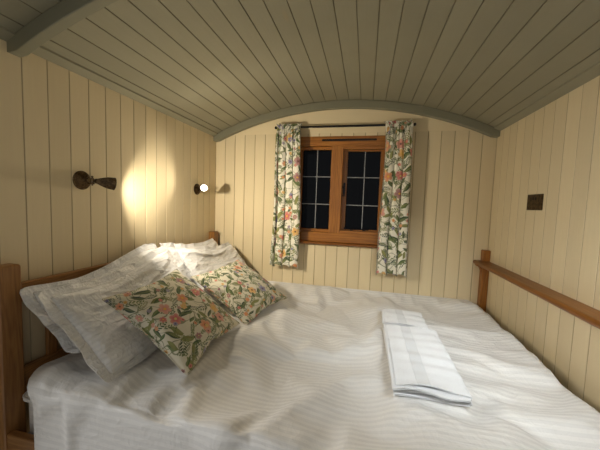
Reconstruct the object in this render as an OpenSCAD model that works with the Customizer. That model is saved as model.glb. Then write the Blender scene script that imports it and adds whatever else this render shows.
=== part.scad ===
// Window-end sleeping bay of a shepherd's hut: floor, three insulated board walls, curved roof,
// oak casement window, fitted bed with its bedding, foot shelf and two swivelling wall lamps.
// Room frame: x across the hut, y = 0 on the window wall's inner face, -y to the open end, z = 0 on
// the floor. in_hut() lifts that frame onto the chassis and centres it over the footprint.

/* [Room] */
// Clear width between the side walls
room_w = 2200; // [2000:10:2500]
// Clear length from the window wall to the open end
bay_l = 1800; // [1750:10:2400]
// Height of the side walls at the ceiling's edge
eaves_h = 2015; // [1950:5:2200]
// Rise of the ceiling's arc above the side walls
ceiling_rise = 250; // [150:5:400]

/* [Walls and roof] */
// Thickness of the tongued lining boards
lining_t = 12; // [9:1:18]
// Thickness of the insulated wall and roof frames
core_t = 63; // [50:1:100]
// Thickness of the outer cladding boards
cladding_t = 20; // [15:1:28]
// Height of the head panel's lower edge above the ceiling's edge
head_joint_up = 10; // [5:1:40]
// Pitch of the corrugated roof sheet's waves
wave_pitch = 76; // [60:1:110]
// Depth of the waves
wave_depth = 18; // [10:1:26]
// Thickness of the roof sheet
sheet_t = 3; // [2:0.5:5]
// Overhang of the roof sheet past the side cladding
eaves_overhang = 55; // [30:1:90]
// Overhang of the roof sheet past the end cladding
gable_overhang = 60; // [40:1:100]
// Thickness of the curved board under the sheet's end
fascia_t = 20; // [15:1:28]
// Depth of that board
fascia_d = 110; // [80:1:150]

/* [Arches and cornice] */
// Depth of the curved arches under the ceiling
arch_d = 57; // [40:1:80]
// Thickness of the arch against the window wall
end_arch_t = 45; // [30:1:60]
// Thickness of the arch across the bay
near_arch_t = 40; // [30:1:60]
// Distance of that arch's far face from the window wall
near_arch_y = 1480; // [1400:10:1600]
// Depth of the arches' flat feet below the ceiling's edge
arch_foot_drop = 45; // [35:1:70]
// Width of the cornice strip
cornice_w = 42; // [30:1:60]
// Thickness of the cornice strip
cornice_t = 8; // [6:1:12]

/* [Floor and chassis] */
// Thickness of the floor boards
floor_t = 18; // [15:1:25]
// Depth of the insulated floor frame
joist_h = 95; // [70:1:145]
// Height of the chassis channels
chassis_h = 100; // [80:1:150]
// Flange width of the chassis channels
chassis_w = 50; // [40:1:75]
// Steel thickness of the chassis channels
chassis_t = 6; // [4:0.5:8]
// Distance between the chassis channels' outer faces
chassis_gauge = 1500; // [1200:10:1800]

/* [Window] */
// Width of the window frame
window_w = 760; // [700:5:900]
// Depth of the window frame's top below the ceiling's edge
window_drop = 15; // [10:1:30]
// Height of the window frame
window_h = 850; // [800:5:860]
// Projection of the frame past the lining
frame_proud = 6; // [2:1:12]
// Width of the jambs, seen from the room
jamb_w = 36; // [30:1:45]
// Width of the bead round the fixed pane
bead_w = 25; // [15:1:30]
// Depth of the head and the bottom rail, seen from the room
head_d = 100; // [70:1:110]
// Left face of the mullion, from the hut's middle
mullion_x = -77; // [-100:1:-60]
// Width of the mullion
mullion_w = 93; // [70:1:110]
// Cover of the frame over the casement's edge
sash_lap = 12; // [8:1:16]
// Width of the casement's stiles and rails
sash_w = 46; // [40:1:60]
// Thickness of the casement
sash_t = 42; // [36:1:48]
// Running gap round the casement
sash_gap = 1; // [0.5:0.5:3]
// Thickness of the glass
glass_t = 4; // [3:1:6]
// Projection of the window board
board_out = 50; // [40:1:55]
// Thickness of the window board
board_t = 22; // [18:1:30]
// Reach of the window board past each jamb
board_horn = 22; // [10:1:40]
// Projection of the outer sill
sill_out = 45; // [30:1:50]

/* [Curtains] */
// Height of the pole's axis above the window frame
pole_up = 62; // [45:1:75]
// Distance of the pole from the window wall
pole_y = 62; // [60:1:80]
// Diameter of the pole
pole_d = 16; // [12:1:20]
// Length of the pole between its finials
pole_l = 1060; // [1000:10:1200]
// Height of the curtains' hem
hem_z = 938; // [900:5:1000]
// Height of the ruffle above the pole's axis
ruffle_h = 26; // [15:1:30]
// Inner edge of each curtain, from the hut's middle
curtain_x = 305; // [290:5:330]
// Width of each gathered curtain
curtain_w = 235; // [200:5:250]
// Depth of the curtains' folds
fold_d = 34; // [20:1:40]
// Number of folds in each curtain
folds = 5; // [4:1:7]
// Thickness of the curtain cloth with its lining
cloth_t = 8; // [5:1:12]

/* [Lamps] */
// Diameter of the wall rose
rose_d = 88; // [80:1:100]
// Depth of the wall rose
rose_h = 22; // [18:1:30]
// Distance of the swivel's axis from the wall
knuckle_out = 62; // [58:1:80]
// Radius of the swivel pin
pin_r = 4; // [3:0.5:5]
// Running clearance round the swivel pin
pin_gap = 0.08; // [0.05:0.01:0.1]
// Radius of the swivel's collar
collar_r = 9; // [8:0.5:11]
// Height of the swivel's collar
collar_h = 15; // [12:1:20]
// Length of the fluted shade
shade_l = 72; // [60:1:90]
// Radius of the shade's mouth
shade_r = 30; // [26:1:34]
// Number of flutes round the shade
flutes = 14; // [10:1:18]
// Depth of the flutes
flute_d = 1.6; // [0.5:0.1:3]
// Place of the near lamp along the wall and its height
near_lamp = [-1243, 1527]; // [-1800:1:2000]
// Turn and tilt of the near lamp's head
near_aim = [63, -6]; // [-90:1:90]
// Place of the far lamp along the wall and its height
far_lamp = [-287, 1540]; // [-1800:1:2000]
// Turn and tilt of the far lamp's head
far_aim = [-59, 6]; // [-90:1:90]

/* [Shelf and socket] */
// Depth of the foot shelf
shelf_d = 95; // [80:1:120]
// Thickness of the foot shelf
shelf_t = 28; // [22:1:35]
// Height of the foot shelf's top
shelf_z = 1085; // [1050:5:1120]
// Length of the foot shelf
shelf_l = 1600; // [1500:10:1700]
// Width of the shelf's posts
shelf_post_w = 45; // [35:1:50]
// Depth of the shelf's posts along the wall
shelf_post_d = 52; // [45:1:60]
// Height of the posts above the shelf
shelf_stub = 80; // [40:5:120]
// Drop of the shelf's brackets
bracket_h = 68; // [50:1:90]
// Thickness of the shelf's brackets
bracket_t = 30; // [20:1:40]
// Width, height and thickness of the socket plate
plate = [146, 86, 5]; // [5:1:160]
// Height of the socket plate's middle
plate_z = 1504; // [1400:1:1600]
// Distance of the socket plate's middle from the window wall
plate_y = 550; // [400:5:700]

/* [Bed] */
// Clearance between the duvet's fall and the shelf's posts
foot_clear = 12; // [8:1:60]
// Width of the mattress, along the hut
mattress_w = 1500; // [1350:5:1510]
// Height of the mattress's top
mattress_z = 700; // [640:5:740]
// Thickness of the mattress
mattress_t = 210; // [150:5:240]
// Width of the bed posts, across the hut
post_w = 55; // [45:1:60]
// Depth of the bed posts, along the hut
post_d = 72; // [60:1:75]
// Height of the headboard's posts
head_post_z = 1190; // [1100:5:1250]
// Height of the headboard's top rail
head_rail_z = 1112; // [1050:5:1150]
// Depth of the headboard's top rail
head_rail_d = 75; // [50:1:110]
// Depth of the headboard's lower rail
low_rail_d = 150; // [100:5:200]
// Thickness of the rails
rail_t = 28; // [22:1:35]
// Height of the side and foot rails' top
rail_z = 560; // [540:5:600]
// Depth of the side and foot rails
rail_d = 140; // [110:5:160]
// Gap between the bed's far posts and the window wall
bed_gap = 34; // [20:1:60]
// Clearance round the mattress, to the posts at its head and foot
mattress_gap = 2; // [1:0.5:5]
// Clearance between the mattress's sides and the outer faces of the posts
post_inset = 36; // [34:1:40]
// Height of the foot posts above the rails
foot_stub = 12; // [5:1:30]
// Width and thickness of the headboard's bars
bar = [40, 18]; // [10:1:60]
// Number of bars in the headboard
bars = 11; // [5:1:15]
// Number of slats under the mattress
slats = 11; // [8:1:16]
// Width of the slats
slat_w = 80; // [50:1:100]
// Thickness of the slats
slat_t = 18; // [15:1:22]

/* [Bedding] */
// Thickness of the duvet at the bed's edges
duvet_edge = 62; // [40:1:80]
// Thickness of the duvet at the crown
duvet_crown = 88; // [70:1:110]
// Height of the duvet's hanging hem
duvet_hem_z = 470; // [440:5:620]
// Thickness of the duvet where it hangs
duvet_fall = 28; // [15:1:35]
// Start of the duvet, from the headboard's wall
duvet_x = 110; // [90:5:200]
// Length of a pillow
pillow_l = 690; // [600:5:700]
// Width of a pillow
pillow_w = 480; // [420:5:500]
// Thickness of a pillow
pillow_t = 105; // [90:1:130]
// Lean of the pillows above the flat
pillow_lean = 50; // [40:1:60]
// Side of a square cushion
cushion_w = 440; // [380:5:460]
// Thickness of a square cushion
cushion_t = 115; // [100:1:130]
// Lean of the cushions above the flat
cushion_lean = 40; // [30:1:45]
// Length and width of the folded bath towel, and its thickness
bath_towel_size = [250, 560, 42]; // [20:1:700]
// Length and width of the folded hand towel, and its thickness
hand_towel_size = [220, 250, 30]; // [20:1:500]

/* [Hidden] */

fine = 64;
soft_gap = 0.3;
seat_gap = 0.3;
wide = 4000;

in_x = room_w / 2;
core_x = in_x + lining_t;
wall_x = core_x + core_t;
out_x = wall_x + cladding_t;
wall_y = lining_t + core_t;
out_y = wall_y + cladding_t;
total_l = bay_l + out_y + gable_overhang;
floor_top = chassis_h + joist_h + floor_t;

ceil_r = (in_x * in_x + ceiling_rise * ceiling_rise) / (2 * ceiling_rise);
ceil_cz = eaves_h + ceiling_rise - ceil_r;
frame_r = ceil_r + lining_t;
roof_r = frame_r + core_t;
sheet_r = roof_r + seat_gap;
sheet_x = out_x + eaves_overhang;
skirt_z = -floor_t - joist_h;

window_top = eaves_h - window_drop;
window_z = window_top - window_h;
head_joint_z = eaves_h + head_joint_up;
arch_foot_z = eaves_h - arch_foot_drop;
pole_z = window_top + pole_up;
pane_z = window_z + head_d;
pane_top = window_top - head_d;
frame_out = out_y - 6;
rebate_y = frame_out - sash_t - sash_gap;
light_x = mullion_x + mullion_w;
light_end = window_w / 2 - jamb_w;
fixed_x = -window_w / 2 + jamb_w;
sash_x = light_x - sash_lap + sash_gap;
sash_end = light_end + sash_lap - sash_gap;
sash_z = pane_z - 2 * sash_lap + sash_gap;
sash_top = pane_top + 2 * sash_lap - sash_gap;
sash_y = rebate_y + seat_gap;
fixed_glass_y = rebate_y;
sash_glass_y = sash_y + sash_t / 2;

head_x = -in_x + post_w;
head_rail_x = -in_x + (post_w - rail_t) / 2;
post_far_y = -bed_gap;
foot_x = in_x - shelf_post_w - foot_clear - duvet_fall - soft_gap - post_w;
mattress_x0 = head_x + mattress_gap;
mattress_x1 = foot_x - mattress_gap;
mattress_l = mattress_x1 - mattress_x0;
mattress_y1 = -bed_gap - post_inset;
mattress_y0 = mattress_y1 - mattress_w;
post_near_y = mattress_y0 - post_inset;
slat_z = mattress_z - mattress_t - slat_t;
duvet_z = mattress_z + seat_gap;
pillow_base = duvet_z + duvet_crown;

// Places a piece of the room on the chassis, over the middle of the footprint
module in_hut() {
    translate([0, bay_l - total_l / 2, floor_top]) children();
}

// A block between two opposite corners
module block(a, b) {
    translate(a) cube(b - a);
}

// A solid cylinder along the hut under an arc of the given radius
module under_arc(r, y0, y1) {
    translate([0, y1, ceil_cz]) rotate([90, 0, 0]) cylinder(r = r, h = y1 - y0, $fn = 4 * fine);
}

// A curved band between two arc radii, between the side planes -x and x
module arc_band(r0, r1, x, y0, y1) {
    intersection() {
        difference() {
            under_arc(r1, y0, y1);
            under_arc(r0, y0 - 1, y1 + 1);
        }
        block([-x, y0 - 2, 0], [x, y1 + 2, wide]);
    }
}

// The part of a block that lies under an arc
module arched_block(a, b, r) {
    intersection() {
        block(a, b);
        under_arc(r, a.y - 1, b.y + 1);
    }
}

// One rolled channel with its web outside
module channel(side) {
    outer = side * chassis_gauge / 2;
    inner = outer - side * chassis_w;
    web = outer - side * chassis_t;
    foot = skirt_z - chassis_h;
    translate([0, wall_y, 0]) rotate([90, 0, 0]) linear_extrude(height = bay_l + wall_y) polygon([
        [outer, foot], [outer, skirt_z], [inner, skirt_z], [inner, skirt_z - chassis_t],
        [web, skirt_z - chassis_t], [web, foot + chassis_t], [inner, foot + chassis_t], [inner, foot]
    ]);
}

module chassis_rails() color("dimgray") in_hut() {
    channel(-1);
    channel(1);
}

module floor_core() color("tan") in_hut() {
    block([-wall_x, -bay_l, skirt_z], [wall_x, wall_y, -floor_t]);
}

module floor_boards() color("burlywood") in_hut() {
    block([-wall_x, -bay_l, -floor_t], [wall_x, wall_y, 0]);
}

// The three layers of a side wall; side is -1 on the left and 1 on the right
module side_layer(side, x0, x1, y1, z0, r) {
    mirror([side < 0 ? 1 : 0, 0, 0]) arched_block([x0, -bay_l, z0], [x1, y1, eaves_h + ceiling_rise], r);
}

module left_wall_core() color("tan") in_hut() side_layer(-1, core_x, wall_x, lining_t, 0, ceil_r);

module left_wall_lining() color("cornsilk") in_hut() side_layer(-1, in_x, core_x, 0, 0, ceil_r);

module left_wall_cladding() color("darkolivegreen") in_hut() {
    side_layer(-1, wall_x, out_x, out_y, skirt_z, roof_r);
}

module right_wall_core() color("tan") in_hut() side_layer(1, core_x, wall_x, lining_t, 0, ceil_r);

module right_wall_lining() color("cornsilk") in_hut() side_layer(1, in_x, core_x, 0, 0, ceil_r);

module right_wall_cladding() color("darkolivegreen") in_hut() {
    side_layer(1, wall_x, out_x, out_y, skirt_z, roof_r);
}

// The window's hole through the end wall
module window_hole() {
    block([-window_w / 2, -1, window_z], [window_w / 2, out_y + 1, window_top]);
}

module end_core(x0, x1, z0, z1) {
    arched_block([x0, lining_t, z0], [x1, wall_y, z1], ceil_r);
}

module end_wall_core_left() color("tan") in_hut() end_core(-wall_x, -window_w / 2, 0, wide);

module end_wall_core_right() color("tan") in_hut() end_core(window_w / 2, wall_x, 0, wide);

module end_wall_core_below() color("tan") in_hut() end_core(-window_w / 2, window_w / 2, 0, window_z);

module end_wall_core_above() color("tan") in_hut() end_core(-window_w / 2, window_w / 2, window_top, wide);

module end_wall_lining() color("cornsilk") in_hut() difference() {
    arched_block([-core_x, 0, 0], [core_x, lining_t, head_joint_z], ceil_r);
    window_hole();
}

module end_wall_head_panel() color("cornsilk") in_hut() {
    arched_block([-core_x, 0, head_joint_z], [core_x, lining_t, wide], ceil_r);
}

module end_wall_cladding() color("darkolivegreen") in_hut() difference() {
    arched_block([-wall_x, wall_y, skirt_z], [wall_x, out_y, wide], roof_r);
    window_hole();
}

module ceiling_lining() color("darkkhaki") in_hut() arc_band(ceil_r, frame_r, wall_x, -bay_l, wall_y);

module roof_core() color("tan") in_hut() arc_band(frame_r, roof_r, wall_x, -bay_l, wall_y);

// Half the angle that the roof sheet spans
sheet_half = asin(sheet_x / (sheet_r + wave_depth));
wave_steps = 8;

// Height of the sheet's wave at a distance along the hut
function wave(y) = wave_depth / 2 * (1 - cos(360 * y / wave_pitch));

// Curved corrugated sheet: its wave profile is swung about the arc's centre line
module roof_sheet() color("slategray") in_hut() {
    count = ceil(total_l / wave_pitch * wave_steps);
    ys = [for (i = [0:count]) total_l * i / count];
    top = [for (y = ys) [sheet_r + wave(y) + sheet_t, y - bay_l]];
    bottom = [for (i = [count:-1:0]) [sheet_r + wave(ys[i]), ys[i] - bay_l]];
    translate([0, 0, ceil_cz]) rotate([-90, 0, 0]) rotate([0, 0, -90 - sheet_half])
        rotate_extrude(angle = 2 * sheet_half, $fn = 4 * fine) polygon(concat(top, bottom));
}

module end_fascia() color("darkolivegreen") in_hut() {
    arc_band(roof_r - fascia_d, roof_r, out_x, out_y, out_y + fascia_t);
}

// A curved arch under the ceiling with flat feet
module arch(y0, y1) {
    intersection() {
        arc_band(ceil_r - arch_d, ceil_r, in_x, y0, y1);
        block([-in_x, y0 - 1, arch_foot_z], [in_x, y1 + 1, wide]);
    }
}

module end_arch() color("olivedrab") in_hut() arch(-end_arch_t, 0);

module near_arch() color("olivedrab") in_hut() arch(-near_arch_y - near_arch_t, -near_arch_y);

// A flat strip under the ceiling's edge, between the arches and past the near one
module cornice(side, y0, y1) {
    intersection() {
        arc_band(ceil_r - cornice_t, ceil_r, in_x, y0, y1);
        block([side > 0 ? in_x - cornice_w : -in_x, y0, 0], [side > 0 ? in_x : cornice_w - in_x, y1, wide]);
    }
}

module cornices() color("darkkhaki") in_hut() for (side = [-1, 1]) {
    cornice(side, -near_arch_y, -end_arch_t);
    cornice(side, -bay_l, -near_arch_y - near_arch_t);
}

module window_frame() color("peru") in_hut() difference() {
    block([-window_w / 2, -frame_proud, window_z], [window_w / 2, frame_out, window_top]);
    block([fixed_x, -frame_proud - 1, pane_z - bead_w],
        [mullion_x, fixed_glass_y - bead_w, pane_top + bead_w]);
    block([fixed_x + bead_w, -frame_proud - 1, pane_z], [mullion_x, frame_out + 1, pane_top]);
    block([light_x, -frame_proud - 1, pane_z], [light_end, frame_out + 1, pane_top]);
    block([sash_x - sash_gap, rebate_y, sash_z - sash_gap],
        [sash_end + sash_gap, frame_out + 1, sash_top + sash_gap]);
}

module casement_sash() color("peru") in_hut() difference() {
    block([sash_x, sash_y, sash_z], [sash_end, sash_y + sash_t, sash_top]);
    block([sash_x + sash_w, sash_y - 1, sash_z + sash_w - sash_lap],
        [sash_end - sash_w, frame_out + 1, sash_top - sash_w + sash_lap]);
}

module window_glass() color("lightblue", 0.4) in_hut() {
    block([fixed_x + bead_w, fixed_glass_y, pane_z], [mullion_x, fixed_glass_y + glass_t, pane_top]);
    block([sash_x + sash_w, sash_glass_y, sash_z + sash_w - sash_lap],
        [sash_end - sash_w, sash_glass_y + glass_t, sash_top - sash_w + sash_lap]);
}

// Board under the window with a rounded nosing
module window_board() color("peru") in_hut() {
    half = window_w / 2 + board_horn;
    translate([-half, 0, 0]) rotate([90, 0, 90]) linear_extrude(height = 2 * half) union() {
        translate([-board_out + board_t / 2, window_z - board_t]) square([board_out - board_t / 2, board_t]);
        translate([-board_out + board_t / 2, window_z - board_t / 2]) circle(r = board_t / 2, $fn = fine);
    }
}

module outer_sill() color("darkolivegreen") in_hut() {
    half = window_w / 2 + board_horn;
    translate([-half, 0, 0]) rotate([90, 0, 90]) linear_extrude(height = 2 * half) polygon([
        [out_y, window_z], [out_y + sill_out, window_z - board_t / 2],
        [out_y + sill_out, window_z - 1.5 * board_t], [out_y, window_z - 1.5 * board_t]
    ]);
}

ironwork_y = sash_y;
fastener_x = light_x + 16;
fastener_h = 96;
pivot_z = window_z + window_h / 2 + 25;
lever_l = 80;
lever_out = 18;
stay_z = pane_z + 6;
stay_l = 230;
vent_l = 430;
vent_h = 16;
vent_x = mullion_x - 82;
vent_z = window_top - 30;

// A disc that lies against a plane along the hut and sticks out into the room
module stud(x, y, z, r, h) {
    translate([x, y, z]) rotate([90, 0, 0]) cylinder(r = r, h = h, $fn = 32);
}

// Casement fastener, stay and the vent's cover strip
module window_ironwork() color("black") in_hut() {
    lever_y = ironwork_y - lever_out;
    plate_bottom = pivot_z - 0.6 * fastener_h;
    block([fastener_x - 9, ironwork_y - 4, plate_bottom],
        [fastener_x + 9, ironwork_y, plate_bottom + fastener_h]);
    stud(fastener_x, ironwork_y - 4, pivot_z, 6.5, lever_out - 2);
    hull() {
        stud(fastener_x, lever_y, pivot_z, 7, 6);
        stud(fastener_x + 4, lever_y, pivot_z - lever_l, 4, 6);
    }
    block([light_x + 30, ironwork_y - 9, stay_z], [light_x + stay_l, ironwork_y, stay_z + 10]);
    stud(light_x + 30, ironwork_y, stay_z + 5, 9, 12);
    block([vent_x, -frame_proud - 3, vent_z - vent_h / 2],
        [vent_x + vent_l, -frame_proud, vent_z + vent_h / 2]);
}

bracket_x = pole_l / 2 - 28;
rose_plate_r = 17;

// Iron pole with ball finials on two stalks from the wall
module curtain_pole() color("black") in_hut() {
    translate([-pole_l / 2, -pole_y, pole_z]) rotate([0, 90, 0]) cylinder(d = pole_d, h = pole_l, $fn = fine);
    for (side = [-1, 1]) {
        translate([side * pole_l / 2, -pole_y, pole_z]) sphere(d = 1.6 * pole_d, $fn = 32);
        stud(side * bracket_x, 0, pole_z, pole_d / 4, pole_y);
        stud(side * bracket_x, 0, pole_z, rose_plate_r, 4);
    }
}

curtain_mid = pole_y + pole_d / 2 + soft_gap + (fold_d + cloth_t) / 2;
fold_steps = 12;

// One gathered curtain: a folded sheet hung in front of the pole
module curtain(side) {
    count = folds * fold_steps;
    front = [for (i = [0:count])
        [curtain_w * i / count, -curtain_mid + fold_d / 2 * cos(360 * i / fold_steps) - cloth_t / 2]];
    back = [for (p = front) [p.x, p.y + cloth_t]];
    outline = concat(front, [for (i = [count:-1:0]) back[i]]);
    translate([side > 0 ? curtain_x : -curtain_x - curtain_w, 0, hem_z])
        linear_extrude(height = pole_z + ruffle_h - hem_z) polygon(outline);
}

module curtain_left() color("ivory") in_hut() curtain(-1);

module curtain_right() color("ivory") in_hut() curtain(1);

arm_r = 5;
stub_h = collar_h / 2 + 7;
collar_gap = 0.4;
elbow = [-22, -stub_h + 1.5];
scroll = [-28, 14];
scroll_r = 8;

// A round rod between two points
module rod(a, b, r) {
    d = b - a;
    l = norm(d);
    translate(a) rotate([0, acos(d.z / l), atan2(d.y, d.x)]) cylinder(r = r, h = l, $fn = 32);
}

// A lamp's own frame: its origin on the swivel's axis, +x away from the wall
module at_lamp(place) {
    translate([-in_x + knuckle_out, place.x, place.y]) children();
}

// Wall rose, scrolled arm and swivel pin
module lamp_bracket(place) {
    at_lamp(place) {
        translate([-knuckle_out, 0, 0]) rotate([0, 90, 0]) rotate_extrude($fn = fine) polygon([
            [0, 0], [rose_d / 2, 0], [rose_d / 2, 4], [rose_d / 2 - 3, 7], [rose_d / 2 - 6, 7.5],
            [rose_d / 2 - 8, 11], [rose_d / 2 - 13, 12], [rose_d / 2 - 15, 15.5], [rose_d / 2 - 21, 17],
            [rose_d / 2 - 23, 20], [12, rose_h - 0.5], [9, rose_h + 3], [0, rose_h + 4]
        ]);
        rod([-knuckle_out + rose_h, 0, 0], [elbow.x, 0, elbow.y], arm_r);
        translate([elbow.x, 0, elbow.y]) rotate([0, 0, 90]) sphere(r = arm_r + 1.5, $fn = 32);
        rod([elbow.x, 0, elbow.y], [-1, 0, elbow.y], arm_r - 0.5);
        rod([-knuckle_out + rose_h - 2, 0, 0], [scroll.x, 0, scroll.y - scroll_r], arm_r - 1.2);
        translate([scroll.x, 0, scroll.y]) rotate([90, 0, 0]) rotate_extrude($fn = 48)
            translate([scroll_r, 0]) circle(r = arm_r - 2, $fn = 24);
        translate([0, 0, -stub_h - 4])
            cylinder(r = collar_r, h = stub_h + 4 - collar_h / 2 - collar_gap, $fn = fine);
        translate([0, 0, -stub_h]) cylinder(r = pin_r, h = 2 * stub_h, $fn = fine);
        translate([0, 0, collar_h / 2 + collar_gap]) cylinder(r = pin_r + 2.5, h = 5, $fn = fine);
        translate([0, 0, stub_h + 3]) sphere(r = 5, $fn = 32);
    }
}

shade_rings = 8;
neck_r = 10;
ring_t = 5;

// Radius of the shade at a share of its length: a narrow neck that swells to a flared mouth
function shade_radius(s) = neck_r + (shade_r - neck_r) * pow(s, 0.75) * (1 + 0.18 * sin(180 * s));

// Fluted tulip shade along +x, closed at the mouth by the lamp's face
module shade() {
    sides = 2 * flutes;
    points = [for (k = [0:shade_rings]) let (s = k / shade_rings) for (j = [0:sides - 1])
        let (r = shade_radius(s) + (j % 2 == 0 ? flute_d : -flute_d) * s)
        [s * shade_l, r * cos(360 * j / sides), r * sin(360 * j / sides)]];
    quads = [for (k = [0:shade_rings - 1]) for (j = [0:sides - 1])
        [k * sides + j, (k + 1) * sides + j, (k + 1) * sides + (j + 1) % sides, k * sides + (j + 1) % sides]];
    ends = [[for (j = [0:sides - 1]) j], [for (j = [sides - 1:-1:0]) shade_rings * sides + j]];
    polyhedron(points = points, faces = concat(quads, ends));
}

// Collar that turns on the pin, and the shade that it carries
module lamp_head(place, aim) {
    at_lamp(place) difference() {
        union() {
            translate([0, 0, -collar_h / 2]) cylinder(r = collar_r, h = collar_h, $fn = fine);
            rotate([0, 0, aim.x]) rotate([0, -aim.y, 0]) {
                rotate([0, 90, 0]) cylinder(r = neck_r - 4, h = collar_r + ring_t, $fn = 32);
                translate([collar_r + 3, 0, 0]) rotate([0, 90, 0])
                    cylinder(r = neck_r + 2, h = ring_t, $fn = 32);
                translate([collar_r + 3 + ring_t + seat_gap, 0, 0]) shade();
            }
        }
        translate([0, 0, -collar_h]) cylinder(r = pin_r + pin_gap, h = 2 * collar_h, $fn = fine);
    }
}

module near_lamp_bracket() color("saddlebrown") in_hut() lamp_bracket(near_lamp);

module near_lamp_head() color("saddlebrown") in_hut() lamp_head(near_lamp, near_aim);

module far_lamp_bracket() color("saddlebrown") in_hut() lamp_bracket(far_lamp);

module far_lamp_head() color("saddlebrown") in_hut() lamp_head(far_lamp, far_aim);

plate_corner = 4;

// Double socket plate with rounded corners and two rocker switches
module socket_plate() color("saddlebrown") in_hut() translate([in_x, -plate_y, plate_z]) rotate([0, -90, 0]) {
    linear_extrude(height = plate.z) offset(r = plate_corner, $fn = 32)
        square([plate.y - 2 * plate_corner, plate.x - 2 * plate_corner], center = true);
    for (side = [-1, 1]) translate([plate.y / 4 - 2, side * 12, plate.z]) block([-7, -5, 0], [7, 5, 3]);
}

shelf_x = in_x - shelf_d;
shelf_post_x = in_x - shelf_post_w;
bracket_lip = 8;

// Shelf with a rounded front edge, notched round its two posts
module foot_shelf() color("peru") in_hut() difference() {
    rotate([90, 0, 0]) linear_extrude(height = shelf_l) union() {
        translate([shelf_x + shelf_t / 2, shelf_z - shelf_t]) square([shelf_d - shelf_t / 2, shelf_t]);
        translate([shelf_x + shelf_t / 2, shelf_z - shelf_t / 2]) circle(r = shelf_t / 2, $fn = fine);
    }
    for (span = [[-shelf_post_d - seat_gap, 1], [-shelf_l - 1, -shelf_l + shelf_post_d + seat_gap]])
        block([shelf_post_x - seat_gap, span[0], 0], [in_x + 1, span[1], wide]);
}

// Curved bracket on a post's face, under the shelf
module shelf_bracket(y) {
    reach = shelf_d - shelf_post_w - 12;
    top = shelf_z - shelf_t - seat_gap;
    curve_h = bracket_h - bracket_lip;
    translate([shelf_post_x, y + bracket_t / 2, top]) rotate([90, 0, 0]) linear_extrude(height = bracket_t)
        polygon(concat([[0, 0], [-reach, 0]],
            [for (a = [0:10:90]) [-reach * (1 - sin(a)), curve_h * (cos(a) - 1) - bracket_lip]]));
}

module shelf_posts() color("peru") in_hut() for (y = [-shelf_post_d, -shelf_l]) {
    block([shelf_post_x, y, 0], [in_x, y + shelf_post_d, shelf_z + shelf_stub]);
    shelf_bracket(y + shelf_post_d / 2);
}

// Head or foot post with a chamfered top
module bed_post(x, y, z) {
    edge = 7;
    hull() {
        block([x, y, 0], [x + post_w, y + post_d, z - edge]);
        block([x + edge, y + edge, 0], [x + post_w - edge, y + post_d - edge, z]);
    }
}

module headboard_posts() color("sienna") in_hut() for (y = [post_far_y - post_d, post_near_y]) {
    bed_post(-in_x, y, head_post_z);
}

module headboard_rails() color("sienna") in_hut() {
    y0 = post_near_y + post_d;
    y1 = post_far_y - post_d;
    block([head_rail_x, y0, head_rail_z - head_rail_d], [head_rail_x + rail_t, y1, head_rail_z]);
    block([head_rail_x, y0, mattress_z - low_rail_d / 2],
        [head_rail_x + rail_t, y1, mattress_z + low_rail_d / 2]);
    for (i = [1:bars]) {
        y = y0 + (y1 - y0) * i / (bars + 1);
        block([head_rail_x + (rail_t - bar.y) / 2, y - bar.x / 2, mattress_z + low_rail_d / 2],
            [head_rail_x + (rail_t + bar.y) / 2, y + bar.x / 2, head_rail_z - head_rail_d]);
    }
}

rail_far_y = mattress_y1 + mattress_gap;
rail_near_y = mattress_y0 - mattress_gap - rail_t;
ledger = 30;

// Side rail with the ledger strip that carries the slats
module side_rail(y, ledger_y) {
    block([head_x, y, rail_z - rail_d], [foot_x, y + rail_t, rail_z]);
    block([head_x, ledger_y, slat_z - ledger], [foot_x, ledger_y + ledger, slat_z]);
}

module bed_side_rails() color("sienna") in_hut() {
    side_rail(rail_far_y, rail_far_y - ledger);
    side_rail(rail_near_y, rail_near_y + rail_t);
}

module bed_foot_end() color("sienna") in_hut() {
    bed_post(foot_x, post_far_y - post_d, rail_z + foot_stub);
    bed_post(foot_x, post_near_y, rail_z + foot_stub);
    block([foot_x + (post_w - rail_t) / 2, post_near_y + post_d, rail_z - rail_d],
        [foot_x + (post_w + rail_t) / 2, post_far_y - post_d, rail_z]);
}

module bed_slats() color("burlywood") in_hut() for (i = [0:slats - 1]) {
    x = mattress_x0 + 20 + (mattress_l - 40 - slat_w) * i / (slats - 1);
    block([x, mattress_y0, slat_z], [x + slat_w, mattress_y1, slat_z + slat_t]);
}

mattress_round = 30;

module mattress() color("white") in_hut() {
    translate([mattress_x0 + mattress_round, mattress_y0 + mattress_round, mattress_z - mattress_t])
        linear_extrude(height = mattress_t) offset(r = mattress_round, $fn = 32)
        square([mattress_l - 2 * mattress_round, mattress_w - 2 * mattress_round]);
}

duvet_x0 = -in_x + duvet_x;
duvet_x1 = foot_x + post_w + soft_gap + duvet_fall;
duvet_y1 = -5;
duvet_y0 = post_near_y - soft_gap - duvet_fall;
crown_steps = 12;

// Height of the duvet's top between its two edges: level in the middle and rounded off towards the edges
crown_power = 8;
function crown(s) = duvet_edge
    + (duvet_crown - duvet_edge) * sqrt(1 - pow(abs(2 * min(1, max(0, s)) - 1), crown_power));

// Cross-section of the duvet between two edges; each edge falls to the hem where drop is set
module duvet_section(a, b, drop) {
    steps = [for (i = [0:crown_steps]) i / crown_steps];
    top = [for (s = steps) [a + duvet_fall + (b - a - 2 * duvet_fall) * s, duvet_z + crown(s)]];
    near = [[a, drop ? duvet_hem_z : duvet_z], [a, duvet_z + duvet_edge / 2]];
    under = drop ? [[a + duvet_fall, duvet_z], [a + duvet_fall, duvet_hem_z]] : [];
    polygon(concat(near, top, [[b, duvet_z + duvet_edge / 2], [b, duvet_z]], under));
}

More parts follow.
